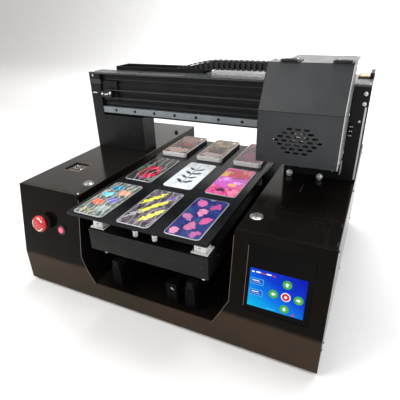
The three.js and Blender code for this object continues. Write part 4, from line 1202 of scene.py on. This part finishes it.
def along(d):
    for (x0, z0, d0), (x1, z1, d1) in zip(samples, samples[1:]):
        if d1 >= d:
            t = (d - d0) / (d1 - d0)
            return Vector((x0 + (x1 - x0) * t, yc, z0 + (z1 - z0) * t)), Vector((x1 - x0, 0, z1 - z0)).normalized()
    return Vector((samples[-1][0], yc, samples[-1][1])), Vector((1, 0, 0))


def capsule(x0, x1, r, top, n=6):
    pts = []
    for q in range(n + 1):
        a = -math.pi / 2 + math.pi * q / n
        pts.append((x1 + r * math.cos(a), top / 2 + r * math.sin(a)))
    for q in range(n + 1):
        a = math.pi / 2 + math.pi * q / n
        pts.append((x0 + r * math.cos(a), top / 2 + r * math.sin(a)))
    return pts


def cheek(outline, y0, y1, m):
    """A flat plate on one side of a link, from y0 to y1."""
    s.loft([[(x, y, z + 0.4) for x, z in outline] for y in (y0, y1)], 0, m)


links = int(length / LINK_PITCH)
for i in range(links):
    p, d = along((i + 0.5) * length / links)
    m = Matrix((d, Vector(BACK), d.cross(Vector(BACK)))).transposed().to_4x4()
    m.translation = p
    for side in (-1, 1):
        rim = side * half_w
        cheek(capsule(-3.4, 2.6, 7.6, tall), *sorted((rim, rim - side * 2.4)), m)
        if i < links - 1:
            cheek(capsule(3.4, 9.0, 6.6, tall), *sorted((rim - side * 2.6, rim - side * 4.6)), m)
            cheek(capsule(7.4, 7.41, 2.0, tall, 5), rim, rim + side * 0.5, m)
    for z0, z1 in ((0.2, 2.6), (tall - 1.0, tall + 1.5)):
        bar = [(-4.4, z0), (4.4, z0), (4.4, z1 - 0.7), (3.6, z1), (-3.6, z1), (-4.4, z1 - 0.7)]
        s.loft([[(x, y, z) for x, z in bar] for y in (-half_w + 0.3, -half_w + 3, half_w - 3, half_w - 0.3)], 0, m)
run = [along(length * q / 70)[0] for q in range(71)]
for dy, dz, r, k in ((-6.5, 7, 2.6, 1), (-1, 6.4, 2.2, 1), (4, 6.8, 2.4, 2), (8, 7.4, 1.6, 1), (-3.6, 11.2, 1.8, 2),
                     (2, 11, 2.0, 1)):
    s.tube([p + Vector((0, dy, dz)) for p in run], r, 8, k)
chain = s.build("chain_links", "base", ["chain", "rubber", "cover"], "rubber", ["cable_chain"], ride=False)
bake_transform(chain)
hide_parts("cable_chain")
s = Shape()
for x in (-284, -270):
    s.screw(on_top(x, yc, 429.2), 2.0)
s.build("chain_tray_screws", "base", ["zinc"], "steel")
s = Shape()
s.plate(12, 26, 0.05, 2.2, 1.5, 0.5, 0, on_top(173, yc, 482))
for y in (-7, 7):
    s.screw(on_top(173, yc + y, 484.2), 2.2, "dome", 1)
s.build("chain_anchor", "carriage", ["alu", "zinc"], "aluminium")


# ---------------------------------------------------------------- studio and camera
def studio():
    me = bpy.data.meshes.new("studio_floor")
    prof = [(-7.0, 0.0), (3.2, 0.0)] + [(3.2 + 2.4 * math.sin(math.radians(a)), 2.4 - 2.4 * math.cos(math.radians(a)))
                                        for a in range(6, 91, 6)] + [(5.6, 8.0)]
    verts, faces = [], []
    for i, (y, z) in enumerate(prof):
        verts += [(-8.0, y, z - 0.0002), (8.0, y, z - 0.0002)]
        if i:
            faces.append([2 * i - 2, 2 * i - 1, 2 * i + 1, 2 * i])
    me.from_pydata(verts, [], faces)
    for p in me.polygons:
        p.use_smooth = True
    o = bpy.data.objects.new("studio_floor", me)
    bpy.context.scene.collection.objects.link(o)
    me.materials.append(finish_of("studio_paper", (0.86, 0.86, 0.86), 0.75, grain=(300, 0.02), vary=0.01, spec=0.2))


def area(name, at, target, size, power, colour, size_y=None):
    light = bpy.data.lights.new(name, "AREA")
    light.shape = "RECTANGLE"
    light.size, light.size_y = size, size_y or size
    light.energy, light.color = power, colour
    o = bpy.data.objects.new(name, light)
    bpy.context.scene.collection.objects.link(o)
    o.location = at
    o.rotation_mode = "QUATERNION"
    o.rotation_quaternion = (Vector(target) - Vector(at)).to_track_quat("-Z", "Y")


studio()
area("key", (-1.6, -1.5, 2.3), (0, 0, 0.2), 1.5, 54, (1, 0.97, 0.93))
area("fill", (2.3, -1.2, 1.7), (0, 0, 0.25), 1.6, 26, (0.95, 0.97, 1))
area("top", (0.2, 0.9, 2.8), (0, 0.1, 0.2), 2.0, 60, (1, 1, 1), 1.4)
area("backdrop", (0, 1.9, 1.9), (0, 4.4, 0.9), 2.6, 150, (1, 1, 1), 1.2)
world = bpy.data.worlds.new("studio_world")
bpy.context.scene.world = world
world.use_nodes = True
world.node_tree.nodes["Background"].inputs[0].default_value = (1.0, 0.985, 0.97, 1)
world.node_tree.nodes["Background"].inputs[1].default_value = 0.55
bpy.context.scene.view_settings.view_transform = "Standard"


EYE = mm(363.06, -519.78, 586.41)


def camera():
    cam = bpy.data.cameras.new("camera")
    o = bpy.data.objects.new("camera", cam)
    bpy.context.scene.collection.objects.link(o)
    yaw, pitch, roll = math.radians(25.858), math.radians(-27.0095), math.radians(-1.6095)
    fwd = Vector((-math.sin(yaw) * math.cos(pitch), math.cos(yaw) * math.cos(pitch), math.sin(pitch)))
    right = Vector((math.cos(yaw), math.sin(yaw), 0))
    up = right.cross(fwd)
    r = right * math.cos(roll) + up * math.sin(roll)
    u = up * math.cos(roll) - right * math.sin(roll)
    m = Matrix((r, u, -fwd)).transposed().to_4x4()
    m.translation = EYE
    o.matrix_world = m
    cam.sensor_fit = "HORIZONTAL"
    cam.sensor_width = 36.0
    cam.lens = 33.135
    cam.clip_start, cam.clip_end = 0.05, 60
    bpy.context.scene.camera = o


camera()
